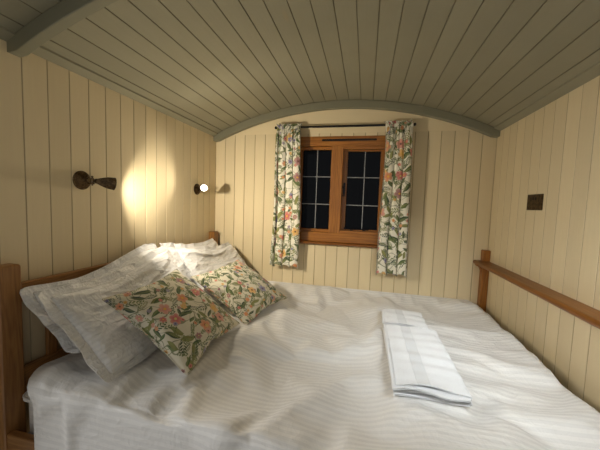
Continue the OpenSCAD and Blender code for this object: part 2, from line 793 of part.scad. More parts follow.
module duvet() color("whitesmoke") in_hut() {
    translate([duvet_x0, 0, 0]) rotate([90, 0, 90]) linear_extrude(height = duvet_x1 - duvet_x0)
        duvet_section(duvet_y0, duvet_y1, true);
    translate([0, duvet_y1 - 45, 0]) rotate([90, 0, 0]) linear_extrude(height = duvet_y1 - 45 - duvet_y0)
        mirror([1, 0]) duvet_section(-duvet_x1, -duvet_x0, true);
}

pad_steps = 6;

// Share of a pad's half thickness at a place across it: full in the middle, thin at the seams
function puff(u, v) = pow(max(0, (1 - pow(abs(u), 2.6)) * (1 - pow(abs(v), 2.6))), 0.5);

// Crowned pad of length l, width w and thickness t: two grids joined along a thin seam
module pad(l, w, t) {
    n = 2 * pad_steps;
    seam = 0.06;
    grid = [for (i = [0:n]) for (j = [0:n]) [sin(90 * (i / pad_steps - 1)), sin(90 * (j / pad_steps - 1))]];
    upper = [for (g = grid) [g.x * l / 2, g.y * w / 2, t / 2 * (seam + (1 - seam) * puff(g.x, g.y))]];
    lower = [for (p = upper) [p.x, p.y, -p.z]];
    m = n + 1;
    top = [for (i = [0:n - 1]) for (j = [0:n - 1]) let (k = i * m + j) [k, k + 1, k + m + 1, k + m]];
    bottom = [for (f = top) [for (k = [3:-1:0]) f[k] + m * m]];
    rim = concat(
        [for (i = [0:n - 1]) [i * m, (i + 1) * m, (i + 1) * m + m * m, i * m + m * m]],
        [for (j = [0:n - 1]) [n * m + j, n * m + j + 1, n * m + j + 1 + m * m, n * m + j + m * m]],
        [for (i = [n:-1:1]) [i * m + n, (i - 1) * m + n, (i - 1) * m + n + m * m, i * m + n + m * m]],
        [for (j = [n:-1:1]) [j, j - 1, j - 1 + m * m, j + m * m]]
    );
    polyhedron(points = concat(upper, lower), faces = concat(top, bottom, rim), convexity = 4);
}

// The pillow stacks stand clear of the headboard's posts
stack_clear = 4;
stack_in = pillow_l / 2 + post_d - post_inset + stack_clear;
stack_far_y = mattress_y1 - stack_in;
stack_near_y = mattress_y0 + stack_in;
pad_marks = [for (j = [-pad_steps:pad_steps]) sin(90 * j / pad_steps)];

// Half thickness of a pad at a share of its width
function pad_half(t, v) = t / 2 * (0.06 + 0.94 * puff(0, v));

// Section of a leaning pad's face, from its top edge down: [height, reach], face 1 in front, -1 behind
function pad_face(w, t, lean, face) = [for (v = pad_marks) let (a = v * w / 2, b = face * pad_half(t, v))
    [-a * sin(lean) + b * cos(lean), a * cos(lean) + b * sin(lean)]];

// How far a leaning pad reaches below its middle, and behind it
function pad_drop(w, t, lean) = max([for (p = pad_face(w, t, lean, -1)) -p.x]);
function pad_back(w, t, lean) = max([for (p = pad_face(w, t, lean, -1)) -p.y]);

// Level of a pad's middle when its lower edge rests on the duvet
function rest_z(w, t, lean) = pillow_base + soft_gap + pad_drop(w, t, lean);

back_x = head_rail_x + rail_t + soft_gap + pad_back(pillow_w, pillow_t, pillow_lean);
front_shift = pillow_t / tan(pillow_lean) / pillow_w;
front_x = back_x + 2 * pad_half(pillow_t, front_shift) / sin(pillow_lean) + soft_gap;
pillow_z = rest_z(pillow_w, pillow_t, pillow_lean);
cushion_z = rest_z(cushion_w, cushion_t, cushion_lean);

// Front face of the front pillow as reach over height, and the least step that keeps a cushion clear of it
front_face = [for (i = [2 * pad_steps:-1:0]) pad_face(pillow_w, pillow_t, pillow_lean, 1)[i]];
cushion_step = max([for (p = pad_face(cushion_w, cushion_t, cushion_lean, -1))
    lookup(p.x + cushion_z - pillow_z, front_face) - p.y]);
cushion_x = front_x + cushion_step + soft_gap;

module pillow(x, y) {
    translate([x, y, pillow_z]) rotate([0, pillow_lean, 0]) rotate([0, 0, 90])
        pad(pillow_l, pillow_w, pillow_t);
}

module near_pillow_back() color("white") in_hut() pillow(back_x, stack_near_y);

module near_pillow_front() color("white") in_hut() pillow(front_x, stack_near_y);

module far_pillow_back() color("white") in_hut() pillow(back_x, stack_far_y);

module far_pillow_front() color("white") in_hut() pillow(front_x, stack_far_y);

near_cushion_y = stack_near_y - 30;
far_cushion_y = stack_far_y - 240;
far_cushion_turn = 14;

// The far cushion stands further out by its turned corner
turn_reach = cushion_w / 2 * sin(far_cushion_turn);

module cushion(x, y, turn) {
    translate([x, y, cushion_z]) rotate([0, 0, turn]) rotate([0, cushion_lean, 0])
        pad(cushion_w, cushion_w, cushion_t);
}

module near_cushion() color("ivory") in_hut() cushion(cushion_x, near_cushion_y, 0);

module far_cushion() color("ivory") in_hut() cushion(cushion_x + turn_reach, far_cushion_y, far_cushion_turn);

bath_towel_at = [mattress_x1 - 617, mattress_y0 + 240];
hand_towel_at = [mattress_x1 - 612, mattress_y0 + 830];
towel_round = 12;

// Folded towel: a thick slab with rounded folds along its length
module towel(at, size) {
    translate([at.x, at.y + size.y, pillow_base + soft_gap]) rotate([90, 0, 0])
        linear_extrude(height = size.y) translate([towel_round, towel_round])
        offset(r = towel_round, $fn = 32) square([size.x - 2 * towel_round, size.z - 2 * towel_round]);
}

module bath_towel() color("white") in_hut() towel(bath_towel_at, bath_towel_size);

module hand_towel() color("white") in_hut() towel(hand_towel_at, hand_towel_size);

chassis_rails();
floor_core();
floor_boards();
left_wall_core();
left_wall_lining();
left_wall_cladding();
right_wall_core();
right_wall_lining();
right_wall_cladding();
end_wall_core_left();
end_wall_core_right();
end_wall_core_below();
end_wall_core_above();
end_wall_lining();
end_wall_head_panel();
end_wall_cladding();
ceiling_lining();
roof_core();
roof_sheet();
end_fascia();
end_arch();
near_arch();
cornices();
window_frame();
casement_sash();
window_glass();
window_board();
outer_sill();
window_ironwork();
curtain_pole();
curtain_left();
curtain_right();
near_lamp_bracket();
near_lamp_head();
far_lamp_bracket();
far_lamp_head();
socket_plate();
foot_shelf();
shelf_posts();
headboard_posts();
headboard_rails();
bed_side_rails();
bed_foot_end();
bed_slats();
mattress();
duvet();
near_pillow_back();
near_pillow_front();
far_pillow_back();
far_pillow_front();
near_cushion();
far_cushion();
bath_towel();
hand_towel();
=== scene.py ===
# Window-end sleeping bay of a shepherd's hut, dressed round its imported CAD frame
import math

import bpy
import numpy as np
from mathutils import Matrix, Vector


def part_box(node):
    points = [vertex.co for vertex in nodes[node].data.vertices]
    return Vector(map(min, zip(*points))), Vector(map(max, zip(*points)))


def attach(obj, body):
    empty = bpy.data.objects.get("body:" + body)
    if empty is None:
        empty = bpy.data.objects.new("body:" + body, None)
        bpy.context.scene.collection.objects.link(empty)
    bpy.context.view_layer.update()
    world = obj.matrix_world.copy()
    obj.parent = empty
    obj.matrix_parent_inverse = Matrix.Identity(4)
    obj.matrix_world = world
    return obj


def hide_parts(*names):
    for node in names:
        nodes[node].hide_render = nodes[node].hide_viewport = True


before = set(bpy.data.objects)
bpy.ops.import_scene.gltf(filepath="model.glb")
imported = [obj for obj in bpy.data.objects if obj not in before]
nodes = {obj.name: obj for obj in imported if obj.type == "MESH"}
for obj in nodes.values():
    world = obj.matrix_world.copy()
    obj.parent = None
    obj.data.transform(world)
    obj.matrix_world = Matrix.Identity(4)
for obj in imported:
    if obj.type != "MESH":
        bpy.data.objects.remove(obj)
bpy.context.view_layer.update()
scene = bpy.context.scene
dice = np.random.default_rng(7)
print("frame:", len(nodes), "CAD nodes")


# Lowest and highest corner of a CAD node as arrays
def corners(node):
    return tuple(np.array(c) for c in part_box(node))


# The room, read from the frame: everything below is placed from these
floorZ = corners("floor_boards")[1][2]
endY = corners("end_wall_lining")[0][1]     # window wall's inner face
openY = corners("left_wall_lining")[0][1]   # open end
halfX = corners("right_wall_lining")[0][0]  # side walls' inner faces
liningT = corners("right_wall_lining")[1][0] - halfX
eavesZ = corners("left_wall_lining")[1][2]
crownZ = corners("ceiling_lining")[1][2] - liningT
arcR = (halfX ** 2 + (crownZ - eavesZ) ** 2) / (2 * (crownZ - eavesZ))
arcZ = crownZ - arcR                        # level of the ceiling arc's centre


# Height of an arc of radius r above the room at a distance x from its middle
def arcHeight(x, r=arcR):
    return arcZ + np.sqrt(r * r - np.minimum(np.abs(x), r) ** 2)


# Shapes


# Faces of n rings with m points each: quads that close round each ring, and from last to first if looped
def gridQuads(n, m, looped=False):
    i, j = np.meshgrid(np.arange(n if looped else n - 1), np.arange(m), indexing="ij")
    a, b = i * m + j, i * m + (j + 1) % m
    c, d = ((i + 1) % n) * m + (j + 1) % m, ((i + 1) % n) * m + j
    return np.stack([a, b, c, d], -1).reshape(-1, 4)


# Rectangle with its corners rounded to radius r, anticlockwise about its middle
def roundedRing(width, height, r, steps=3):
    turn = np.linspace(0, math.pi / 2, steps + 1)
    ring = []
    for quarter, (sx, sy) in enumerate([(1, 1), (-1, 1), (-1, -1), (1, -1)]):
        angle = turn + quarter * math.pi / 2
        ring.append(np.stack([sx * (width / 2 - r) + r * np.cos(angle),
                              sy * (height / 2 - r) + r * np.sin(angle)], 1))
    return np.concatenate(ring)


# Section of a V-jointed board: its two corners on the face side are cut back by v
def boardRing(width, thick, v):
    w, t = width / 2, thick / 2
    return np.array([(-w, -t), (w, -t), (w, t - v), (w - v, t), (-w + v, t), (-w, t - v)])


# Circle of radius r as m points
def circleRing(r, m=24):
    angle = np.arange(m) * 2 * math.pi / m
    return np.stack([r * np.cos(angle), r * np.sin(angle)], 1)


# A closed part: points, quads, end caps, grain coordinates, a tone from 0 to 1, and 1 at the bottom of a joint
def part(points, quads, caps=(), grain=None, tone=0.5, groove=0.0):
    grain = points if grain is None else grain
    return {"points": points, "quads": quads, "caps": [np.asarray(c) for c in caps], "grain": grain,
            "tone": np.full(len(points), tone), "groove": np.broadcast_to(groove, len(points))}


# Closed part from n rings of m points; it has an end cap on each end ring unless it is looped
def ringed(points, grain=None, tone=0.5, groove=0.0, looped=False):
    n, m = points.shape[:2]
    caps = [] if looped else [np.arange(m)[::-1], (n - 1) * m + np.arange(m)]
    return part(points.reshape(-1, 3), gridQuads(n, m, looped=looped), caps,
                None if grain is None else grain.reshape(-1, 3), tone, groove)


# Grain coordinates of rings along a line: the distance along it, then the place in the ring
def alongGrain(along, rings):
    return np.concatenate([np.broadcast_to(along[:, None, None], rings[..., :1].shape), rings], -1)


# Bar along a straight line: point = start + ahead * s + across * ring.x + out * ring.y, its ends eased by edge.
# Grain coordinates run along the bar first, shifted by a different random step for each bar.
def bar(ring, start, finish, out, edge=0.0012):
    start, finish, out = (np.asarray(v, float) for v in (start, finish, out))
    length = np.linalg.norm(finish - start)
    ahead = (finish - start) / length
    across = np.cross(out, ahead)
    ease = np.array([1, 0.3, 0, 0, 0.3, 1]) * edge
    along = np.array([0, 0.3 * edge, edge, length - edge, length - 0.3 * edge, length])
    rings = ring[None] * (1 - ease[:, None, None] / np.abs(ring).max(0))
    points = start + along[:, None, None] * ahead + rings[..., :1] * across + rings[..., 1:] * out
    grain = alongGrain(along, rings) + dice.uniform(0, 9, 3)
    jointed = len(ring) == 6                                 # a board's section has six points
    groove = np.tile((1, 1, 1, 0, 0, 1), len(rings)) if jointed else 0.0
    return ringed(points, grain, dice.uniform(), groove)


# Bar between two opposite corners of a box, with its grain along one axis and its face along another
def beam(low, high, along=2, face=1, r=0.003, edge=0.002):
    low, high = np.minimum(low, high).astype(float), np.maximum(low, high).astype(float)
    middle, size = (low + high) / 2, high - low
    side = 3 - along - face
    start, finish, out = middle.copy(), middle.copy(), np.zeros(3)
    start[along], finish[along], out[face] = low[along], high[along], -1.0
    return bar(roundedRing(size[side], size[face], min(r, 0.45 * size.min())), start, finish, out, edge)


# Distance along a path at each of its places
def runLength(path):
    return np.r_[0, np.cumsum(np.linalg.norm(np.diff(path, axis=0), axis=1))]


# Tube: a ring, scaled by size at each place, carried along a path without twisting
def tube(ring, path, size=1.0, looped=False, up=(0, 0, 1)):
    path = np.asarray(path, float)
    ahead = np.roll(path, -1, 0) - np.roll(path, 1, 0) if looped else np.gradient(path, axis=0)
    ahead /= np.linalg.norm(ahead, axis=1)[:, None]
    across = np.cross(np.broadcast_to(up, ahead.shape), ahead)
    across /= np.linalg.norm(across, axis=1)[:, None]
    out = np.cross(ahead, across)
    size = np.broadcast_to(size, len(path))[:, None, None]
    rings = ring[None] * size
    points = path[:, None] + rings[..., :1] * across[:, None] + rings[..., 1:] * out[:, None]
    return ringed(points, alongGrain(runLength(path), rings), looped=looped)


# Tube whose radius follows places along its length
def tapered(ring, path, shares, radii, up):
    return tube(ring, path, np.interp(np.linspace(0, 1, len(path)), shares, radii), up=up)


# Turned shape: point = centre + axis * h + r * (cos, sin) of the turn, from a profile of (h, r) places.
# ripple(turn, share along the profile) scales the radius, for flutes.
def turned(profile, centre, axis=(0, 0, 1), m=40, ripple=None, looped=False):
    profile, axis = np.asarray(profile, float), Vector(axis).normalized()
    side = axis.orthogonal().normalized()
    front = np.array(axis.cross(side))
    side, axis = np.array(side), np.array(axis)
    turn = np.arange(m) * 2 * math.pi / m
    share = np.linspace(0, 1, len(profile))
    radius = np.broadcast_to(profile[:, 1:2], (len(profile), m))
    if ripple:
        radius = radius * ripple(turn[None], share[:, None])
    points = (np.asarray(centre, float) + profile[:, :1, None] * axis
              + radius[..., None] * (np.cos(turn)[None, :, None] * side + np.sin(turn)[None, :, None] * front))
    return ringed(points, looped=looped)


# Smooth curve through a few (h, r) places: each stretch is split and eased by Catmull-Rom weights
def smoothed(places, steps=6):
    p = np.asarray(places, float)
    p = np.vstack([2 * p[0] - p[1], p, 2 * p[-1] - p[-2]])
    t = np.linspace(0, 1, steps, endpoint=False)[:, None]
    runs = []
    for a, b, c, d in zip(p, p[1:], p[2:], p[3:]):
        runs.append(0.5 * (2 * b + (c - a) * t + (2 * a - 5 * b + 4 * c - d) * t ** 2
                           + (3 * b - a - 3 * c + d) * t ** 3))
    return np.vstack([*runs, p[-2:-1]])


# Turns a part's faces round where its signed volume says that they point inwards
def facingOut(p):
    fans = [np.stack([np.full(len(c) - 2, c[0]), c[1:-1], c[2:]], 1) for c in p["caps"]]
    tris = np.vstack([p["quads"][:, [0, 1, 2]], p["quads"][:, [0, 2, 3]], *fans])
    a, b, c = (p["points"][tris[:, k]] for k in range(3))
    if np.einsum("ij,ij->", a, np.cross(b, c)) < 0:
        p["quads"] = p["quads"][:, ::-1]
        p["caps"] = [c[::-1] for c in p["caps"]]
    return p


# One mesh object from closed parts, riding on a body and standing for CAD nodes
def piece(name, parts, material, slot, stands=(), body="root", crease=0.6):
    parts = [facingOut(p) for p in parts]
    faces, start = [], 0
    for p in parts:
        faces += (p["quads"] + start).tolist() + [(c + start).tolist() for c in p["caps"]]
        start += len(p["points"])
    mesh = bpy.data.meshes.new(name)
    mesh.from_pydata(np.vstack([p["points"] for p in parts]).tolist(), [], faces)
    grain = mesh.attributes.new("grain", "FLOAT_VECTOR", "POINT")
    grain.data.foreach_set("vector", np.vstack([p["grain"] for p in parts]).astype(np.float32).ravel())
    for key in ("tone", "groove"):
        mesh.attributes.new(key, "FLOAT", "POINT").data.foreach_set(
            "value", np.concatenate([p[key] for p in parts]).astype(np.float32))
    mesh.polygons.foreach_set("use_smooth", np.ones(len(mesh.polygons), bool))
    mesh.set_sharp_from_angle(angle=crease)
    mesh.update()
    made = placed(name, mesh, material, stands, body)
    if crease < 0.7:                                       # broad faces stay flat beside their eased edges
        made.modifiers.new("even shading", "WEIGHTED_NORMAL").keep_sharp = True
    return made


# Object for a finished mesh, with its material, body and the nodes that it stands for
def placed(name, mesh, material, stands=(), body="root"):
    made = bpy.data.objects.new(name, mesh)
    scene.collection.objects.link(made)
    mesh.materials.clear()
    mesh.materials.append(material)
    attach(made, body)
    if stands:
        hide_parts(*([stands] if isinstance(stands, str) else stands))
    return made


# Material tools


# Gives a node's input a link from a socket, or a plain value
def feed(socket, value):
    if isinstance(value, bpy.types.NodeSocket):
        socket.id_data.links.new(value, socket)
    else:
        socket.default_value = value


# Adds a shader node; feeds are its inputs by name or index, each a value or a socket
def put(tree, kind, feeds=None, **settings):
    made = tree.nodes.new("ShaderNode" + kind)
    for key, value in settings.items():
        setattr(made, key, value)
    for key, value in (feeds or {}).items():
        feed(made.inputs[key], value)
    return made


# The node tree of the first socket among some values
def treeOf(*values):
    return next(v.id_data for v in values if isinstance(v, bpy.types.NodeSocket))


# Result of a Math node
def sums(operation, a, b=0.0, c=0.0, clamp=False):
    return put(treeOf(a, b, c), "Math", {0: a, 1: b, 2: c}, operation=operation, use_clamp=clamp).outputs[0]


# Product of two values
def times(a, b, clamp=False):
    return sums("MULTIPLY", a, b, clamp=clamp)


# Sum of two values
def plus(a, b):
    return sums("ADD", a, b)


# Difference of two values
def minus(a, b, clamp=False):
    return sums("SUBTRACT", a, b, clamp=clamp)


# a * b + c
def timesPlus(a, b, c):
    return sums("MULTIPLY_ADD", a, b, c)


# Result of a Vector Math node
def arrows(operation, a, b=(0, 0, 0), scale=None):
    made = put(treeOf(a, b), "VectorMath", {0: a, 1: b}, operation=operation)
    if scale is not None:
        feed(made.inputs["Scale"], scale)
    return made.outputs["Value" if operation == "LENGTH" else "Vector"]


# A vector with each of its parts multiplied by its own factor
def stretch(vector, by):
    return arrows("MULTIPLY", vector, by)


# The three parts of a vector
def axes(vector):
    return put(treeOf(vector), "SeparateXYZ", {0: vector}).outputs


# The three channels of a colour, read as random values
def channels(colour):
    return put(treeOf(colour), "SeparateColor", {0: colour}).outputs


# Smooth step from 0 at low to 1 at high
def step(value, low, high):
    return put(treeOf(value), "MapRange", {"Value": value, "From Min": low, "From Max": high},
               interpolation_type="SMOOTHSTEP", clamp=True).outputs[0]


# Colour b over colour a by a factor
def over(factor, a, b):
    made = put(treeOf(factor), "Mix", {0: factor}, data_type="RGBA", blend_type="MIX")
    for index, value in ((6, a), (7, b)):
        feed(made.inputs[index], value if isinstance(value, bpy.types.NodeSocket) else (*value[:3], 1))
    return made.outputs[2]


# A colour times one factor, or times one for each channel
def darker(colour, *by):
    return tuple(c * k for c, k in zip(colour, by * 3 if len(by) == 1 else by))


# Noise of a given number of features per metre
def noise(vector, scale, detail=3.0, rough=0.5, kind="Fac"):
    return put(treeOf(vector), "TexNoise", {"Vector": vector, "Scale": scale, "Detail": detail,
                                            "Roughness": rough}).outputs[kind]


# What a piece stores at its points: its grain coordinates, its tone, or 1 at the bottom of a joint
def stored(tree, name):
    return put(tree, "Attribute", attribute_name=name).outputs["Vector" if name == "grain" else "Fac"]


# Place in the object's own coordinates, in metres
def objectPlace(tree):
    return put(tree, "TexCoord").outputs["Object"]


# Normal from a height through a Bump node; reach is the relief in metres, and under is a finer normal below it
def relief(height, reach, strength=1.0, under=None):
    feeds = {"Strength": strength, "Distance": reach, "Height": height}
    if under is not None:
        feeds["Normal"] = under
    return put(treeOf(height), "Bump", feeds).outputs[0]


# Shader node group with a vector and some numbers as inputs and with numbers as outputs
def newGroup(name, numbers, results):
    group = bpy.data.node_groups.new(name, "ShaderNodeTree")
    group.interface.new_socket("Vector", in_out="INPUT", socket_type="NodeSocketVector")
    for label, value in numbers.items():
        group.interface.new_socket(label, in_out="INPUT", socket_type="NodeSocketFloat").default_value = value
    for label in results:
        group.interface.new_socket(label, in_out="OUTPUT", socket_type="NodeSocketFloat")
    return group, group.nodes.new("NodeGroupInput").outputs, group.nodes.new("NodeGroupOutput").inputs


# Joins a group's results to its outputs
def close(gives, **results):
    for label, value in results.items():
        feed(gives[label], value)


# Places a group in the tree of its vector and gives its outputs
def useGroup(group, **feeds):
    made = treeOf(*feeds.values()).nodes.new("ShaderNodeGroup")
    made.node_tree = group
    for key, value in feeds.items():
        feed(made.inputs[key], value)
    return made.outputs


# Sawn and planed wood: growth rings stretched along the grain, fine fibres, and a knot here and there
def woodGroup():
    group, given, gives = newGroup("wood figure", {"Rings": 34.0, "Warp": 1.6, "Knots": 0.5},
                                   ("Figure", "Fibre", "Knot"))
    vector = given["Vector"]
    sway = noise(stretch(vector, (1.0, 9.0, 9.0)), 1.7, 3)
    cells = put(group, "TexVoronoi", {"Vector": stretch(vector, (2.1, 7.0, 7.0)), "Scale": 1.0,
                                      "Randomness": 1.0}).outputs
    chosen = step(channels(cells["Color"])[0], 0.62, 0.66)
    knot = times(minus(1, step(cells["Distance"], 0.03, 0.13)), chosen)
    bulge = times(minus(1, step(cells["Distance"], 0.0, 0.5)), chosen)
    across = axes(vector)
    height = plus(across[1], times(across[2], 0.6))
    phase = timesPlus(height, given["Rings"], times(sway, times(given["Warp"], 4.0)))
    phase = plus(phase, times(bulge, 1.5))
    rings = step(sums("PINGPONG", phase, 0.5), 0.05, 0.5)
    fibre = noise(stretch(vector, (14.0, 520.0, 520.0)), 1.0, 2)
    streak = noise(stretch(vector, (1.4, 90.0, 90.0)), 1.0, 4)
    close(gives, Figure=plus(times(rings, 0.55), times(streak, 0.45)),
          Fibre=plus(times(fibre, 0.6), times(streak, 0.4)), Knot=times(knot, given["Knots"]))
    return group


# Handling and dust: broad soft patches and small specks, each from 0 to 1
def agedGroup():
    group, given, gives = newGroup("handling", {"Scale": 3.0}, ("Patch", "Speck"))
    broad = noise(given["Vector"], given["Scale"], 5, 0.6)
    fine = noise(given["Vector"], times(given["Scale"], 40), 2)
    close(gives, Patch=step(broad, 0.35, 0.7), Speck=step(fine, 0.62, 0.75))
    return group


# Plain weave: two crossed sets of rounded threads, a given number to the metre, with uneven thickness
def weaveGroup():
    group, given, gives = newGroup("weave", {"Threads": 1400.0}, ("Height", "Slub"))
    across = axes(given["Vector"])
    warp, weft = (sums("ABSOLUTE", sums("SINE", times(times(across[k], given["Threads"]), math.pi)))
                  for k in (0, 1))
    slub = noise(stretch(given["Vector"], (40.0, 900.0, 40.0)), 1.0, 2)
    close(gives, Height=plus(sums("MAXIMUM", warp, weft), times(slub, 0.5)), Slub=slub)
    return group


woodFigure, handling, weave = woodGroup(), agedGroup(), weaveGroup()


# New material with its tree and its shader's inputs; fixed holds the shader's plain values
def newMaterial(name, **fixed):
    material = bpy.data.materials.new(name)
    material.use_nodes = True
    tree = material.node_tree
    sockets = tree.nodes["Principled BSDF"].inputs
    for key, value in fixed.items():
        sockets[key].default_value = value
    return material, tree, sockets


# Joins a colour, a roughness and a normal to a shader
def skin(sockets, colour, roughness, normal):
    for key, value in (("Base Color", colour), ("Roughness", roughness), ("Normal", normal)):
        feed(sockets[key], value)


# Painted board: the paint's colour drifts from board to board, grain and knots telegraph through it, and its
# joints are darkened with dust and painted shade
def paintedBoards(name, paint, rough=0.45, drift=0.10, grainDepth=0.00035):
    material, tree, sockets = newMaterial(name)
    grain, tone, place = stored(tree, "grain"), stored(tree, "tone"), objectPlace(tree)
    wood = useGroup(woodFigure, Vector=grain, Rings=26.0, Warp=1.3, Knots=0.8)
    aged = useGroup(handling, Vector=place, Scale=2.2)
    colour = over(tone, paint, darker(paint, 1 - drift))
    colour = over(times(aged["Patch"], 0.25), colour, darker(paint, 0.86))
    colour = over(times(wood["Figure"], 0.10), colour, darker(paint, 0.72))
    colour = over(times(wood["Knot"], 0.16), colour, (0.45, 0.26, 0.09))
    # the bottoms of the joints are darkened: dust and painted shade in the V
    joint = step(stored(tree, "groove"), 0.0, 0.55)
    colour = over(times(joint, 0.6), colour, darker(paint, 0.32, 0.26, 0.18))
    skin(sockets, colour, timesPlus(aged["Patch"], 0.14, rough),
         relief(plus(wood["Fibre"], times(wood["Figure"], 0.5)), grainDepth))
    return material


# Oiled or waxed wood: dark rings over a pale ground, knots, darker handled patches
def bareWood(name, pale, dark, rough=0.38, rings=42.0, warp=1.5, knots=0.8, grainDepth=0.0003, coat=0.12):
    material, tree, sockets = newMaterial(name, **{"Coat Weight": coat, "Coat Roughness": 0.3})
    grain, tone, place = stored(tree, "grain"), stored(tree, "tone"), objectPlace(tree)
    wood = useGroup(woodFigure, Vector=grain, Rings=rings, Warp=warp, Knots=knots)
    aged = useGroup(handling, Vector=place, Scale=5.0)
    colour = over(wood["Figure"], pale, dark)
    colour = over(times(tone, 0.35), colour, darker(pale, 0.62))
    colour = over(times(step(wood["Fibre"], 0.42, 0.62), 0.30), colour, darker(dark, 0.45))
    colour = over(times(wood["Knot"], 0.85), colour, darker(dark, 0.3))
    colour = over(times(aged["Patch"], 0.22), colour, darker(dark, 0.6))
    skin(sockets, colour, timesPlus(wood["Fibre"], 0.3, rough - 0.1),
         relief(minus(wood["Fibre"], times(wood["Knot"], 0.4)), grainDepth))
    return material


# Metal with a patina: dark ground, rubbed places lighter, fine uneven surface
def agedMetal(name, ground, rubbed, metallic, rough, scale=60.0, reach=0.00015):
    material, tree, sockets = newMaterial(name, Metallic=metallic)
    place = objectPlace(tree)
    aged = useGroup(handling, Vector=place, Scale=scale)
    fine = noise(place, scale * 12, 3)
    colour = over(times(aged["Patch"], 0.5), ground, rubbed)
    colour = over(times(aged["Speck"], 0.3), colour, darker(ground, 0.5))
    skin(sockets, colour, timesPlus(fine, 0.25, rough - 0.12), relief(fine, reach))
    return material


creamBoards = paintedBoards("cream boards", (0.74, 0.615, 0.385))
ceilingBoards = paintedBoards("grey-green ceiling boards", (0.27, 0.25, 0.17), rough=0.5)
archPaint = paintedBoards("grey-green arches", (0.21, 0.20, 0.135), rough=0.42, drift=0.04)
outerPaint = paintedBoards("outdoor boards", (0.16, 0.19, 0.125), rough=0.5, drift=0.12, grainDepth=0.0006)
oakWood = bareWood("oiled oak", (0.46, 0.185, 0.034), (0.21, 0.070, 0.009))
# a darker copy of the oiled oak: painted shade on the window board and the foot shelf
shadedOak = bareWood("oiled oak, darkened as painted shade", (0.30, 0.110, 0.018), (0.14, 0.044, 0.005))
pineWood = bareWood("waxed pine", (0.40, 0.19, 0.055), (0.20, 0.078, 0.016), rings=30.0, warp=2.0, knots=1.0)
sawnWood = bareWood("sawn softwood", (0.62, 0.45, 0.26), (0.44, 0.27, 0.12), rough=0.7, rings=30.0, coat=0.0,
                    grainDepth=0.0006)
bronze = agedMetal("antique bronze", (0.055, 0.036, 0.02), (0.26, 0.17, 0.085), 1.0, 0.36)
iron = agedMetal("black iron", (0.012, 0.012, 0.012), (0.035, 0.033, 0.03), 0.6, 0.42)
lead = agedMetal("lead strip", (0.22, 0.22, 0.21), (0.42, 0.42, 0.40), 0.35, 0.45)
chassisSteel = agedMetal("black chassis steel", (0.03, 0.032, 0.03), (0.07, 0.065, 0.055), 0.2, 0.5, scale=9.0,
                         reach=0.0004)
roofSteel = agedMetal("coated roof sheet", (0.085, 0.10, 0.09), (0.13, 0.145, 0.13), 0.25, 0.42, scale=3.0,
                      reach=0.0002)


# Timber on a CAD node: its grain is read from Object coordinates, turned along the given axis
def nodeTimber(name, along):
    material, tree, sockets = newMaterial(name)
    turn = {1: (0, 0, -math.pi / 2), 2: (0, math.pi / 2, 0)}[along]
    place = put(tree, "Mapping", {"Vector": objectPlace(tree), "Rotation": turn}).outputs[0]
    wood = useGroup(woodFigure, Vector=place, Rings=22.0, Warp=1.4, Knots=0.8)
    colour = over(wood["Figure"], (0.62, 0.45, 0.26), (0.42, 0.26, 0.12))
    colour = over(times(wood["Knot"], 0.8), colour, (0.16, 0.07, 0.025))
    skin(sockets, colour, timesPlus(wood["Fibre"], 0.2, 0.6), relief(wood["Fibre"], 0.0005))
    return material


# Gives a CAD node that stays shown its material
def dress(material, *names):
    for name in names:
        mesh = nodes[name].data
        mesh.materials.clear()
        mesh.materials.append(material)


timberUp, timberAlong = nodeTimber("sawn timber upright", 2), nodeTimber("sawn timber lengthwise", 1)
dress(timberUp, "left_wall_core", "right_wall_core", "end_wall_core_left", "end_wall_core_right",
      "end_wall_core_below", "end_wall_core_above")
dress(timberAlong, "roof_core", "floor_core")
dress(chassisSteel, "chassis_rails")
dress(roofSteel, "roof_sheet")
print("materials:", len(bpy.data.materials))

# Boarded walls, ceiling, floor and cladding
boards = {
    "pitch": 0.0917,        # width of a lining board
    "firstJoint": 0.0985,   # side walls' first joint, from the window wall
    "v": 0.0032,            # depth of the V at each joint
    "outerPitch": 0.118,
    "outerV": 0.006,
    "floorPitch": 0.121,
    "endCount": 24,         # boards across the window wall
    "ceilingCount": 25,     # boards over the ceiling's arc
    "shy": 0.0004,          # how unevenly the faces stand
}


# Upright boards side by side in a plane: places run along `run`, faces look along `out`
def uprights(edges, low, high, base, run, out, thick, v, top=None):
    run, out, base = (np.asarray(a, float) for a in (run, out, base))
    made = []
    for a, b in zip(edges[:-1], edges[1:]):
        middle = base + run * (a + b) / 2 - out * (thick / 2 + dice.uniform(0, boards["shy"]))
        p = bar(boardRing(b - a, thick, v), middle + (0, 0, low), middle + (0, 0, high), out, edge=0.0008)
        # the look follows the board's place, so that the lengths it is cut in match
        mark = np.abs(np.sin((round(a, 3) + 7) * np.array([911.0, 577.0, 353.0])))
        p["tone"][:] = mark[0]
        p["grain"] = p["grain"] - p["grain"].min(0) + mark * 9 + (low, 0, 0)
        if top is not None:
            p["points"][:, 2] = np.minimum(p["points"][:, 2], top(p["points"][:, 0]))
        made.append(p)
    return made


# Upright boards on a wall round its window: below it, beside it and above it
def boardsRoundWindow(edges, bottom, top, *how):
    low, high = corners("window_frame")
    made = []
    for start, end, cuts in ((bottom, low[2], []), (low[2], high[2], [low[0], high[0]]), (high[2], top, [])):
        inner = np.unique(np.r_[edges, cuts])
        for a, b in zip(inner[:-1], inner[1:]):
            if not (cuts and a > cuts[0] - 1e-6 and b < cuts[1] + 1e-6):
                made += uprights(np.array([a, b]), start, end, *how)
    return made


# Board edges from low to high with joints at first + k * pitch
def boardEdges(low, high, first, pitch):
    inner = first + pitch * np.arange(math.ceil((low - first) / pitch) - 1,
                                      math.ceil((high - first) / pitch) + 1)
    inner = inner[(inner > low + 0.012) & (inner < high - 0.012)]
    return np.r_[low, inner, high]


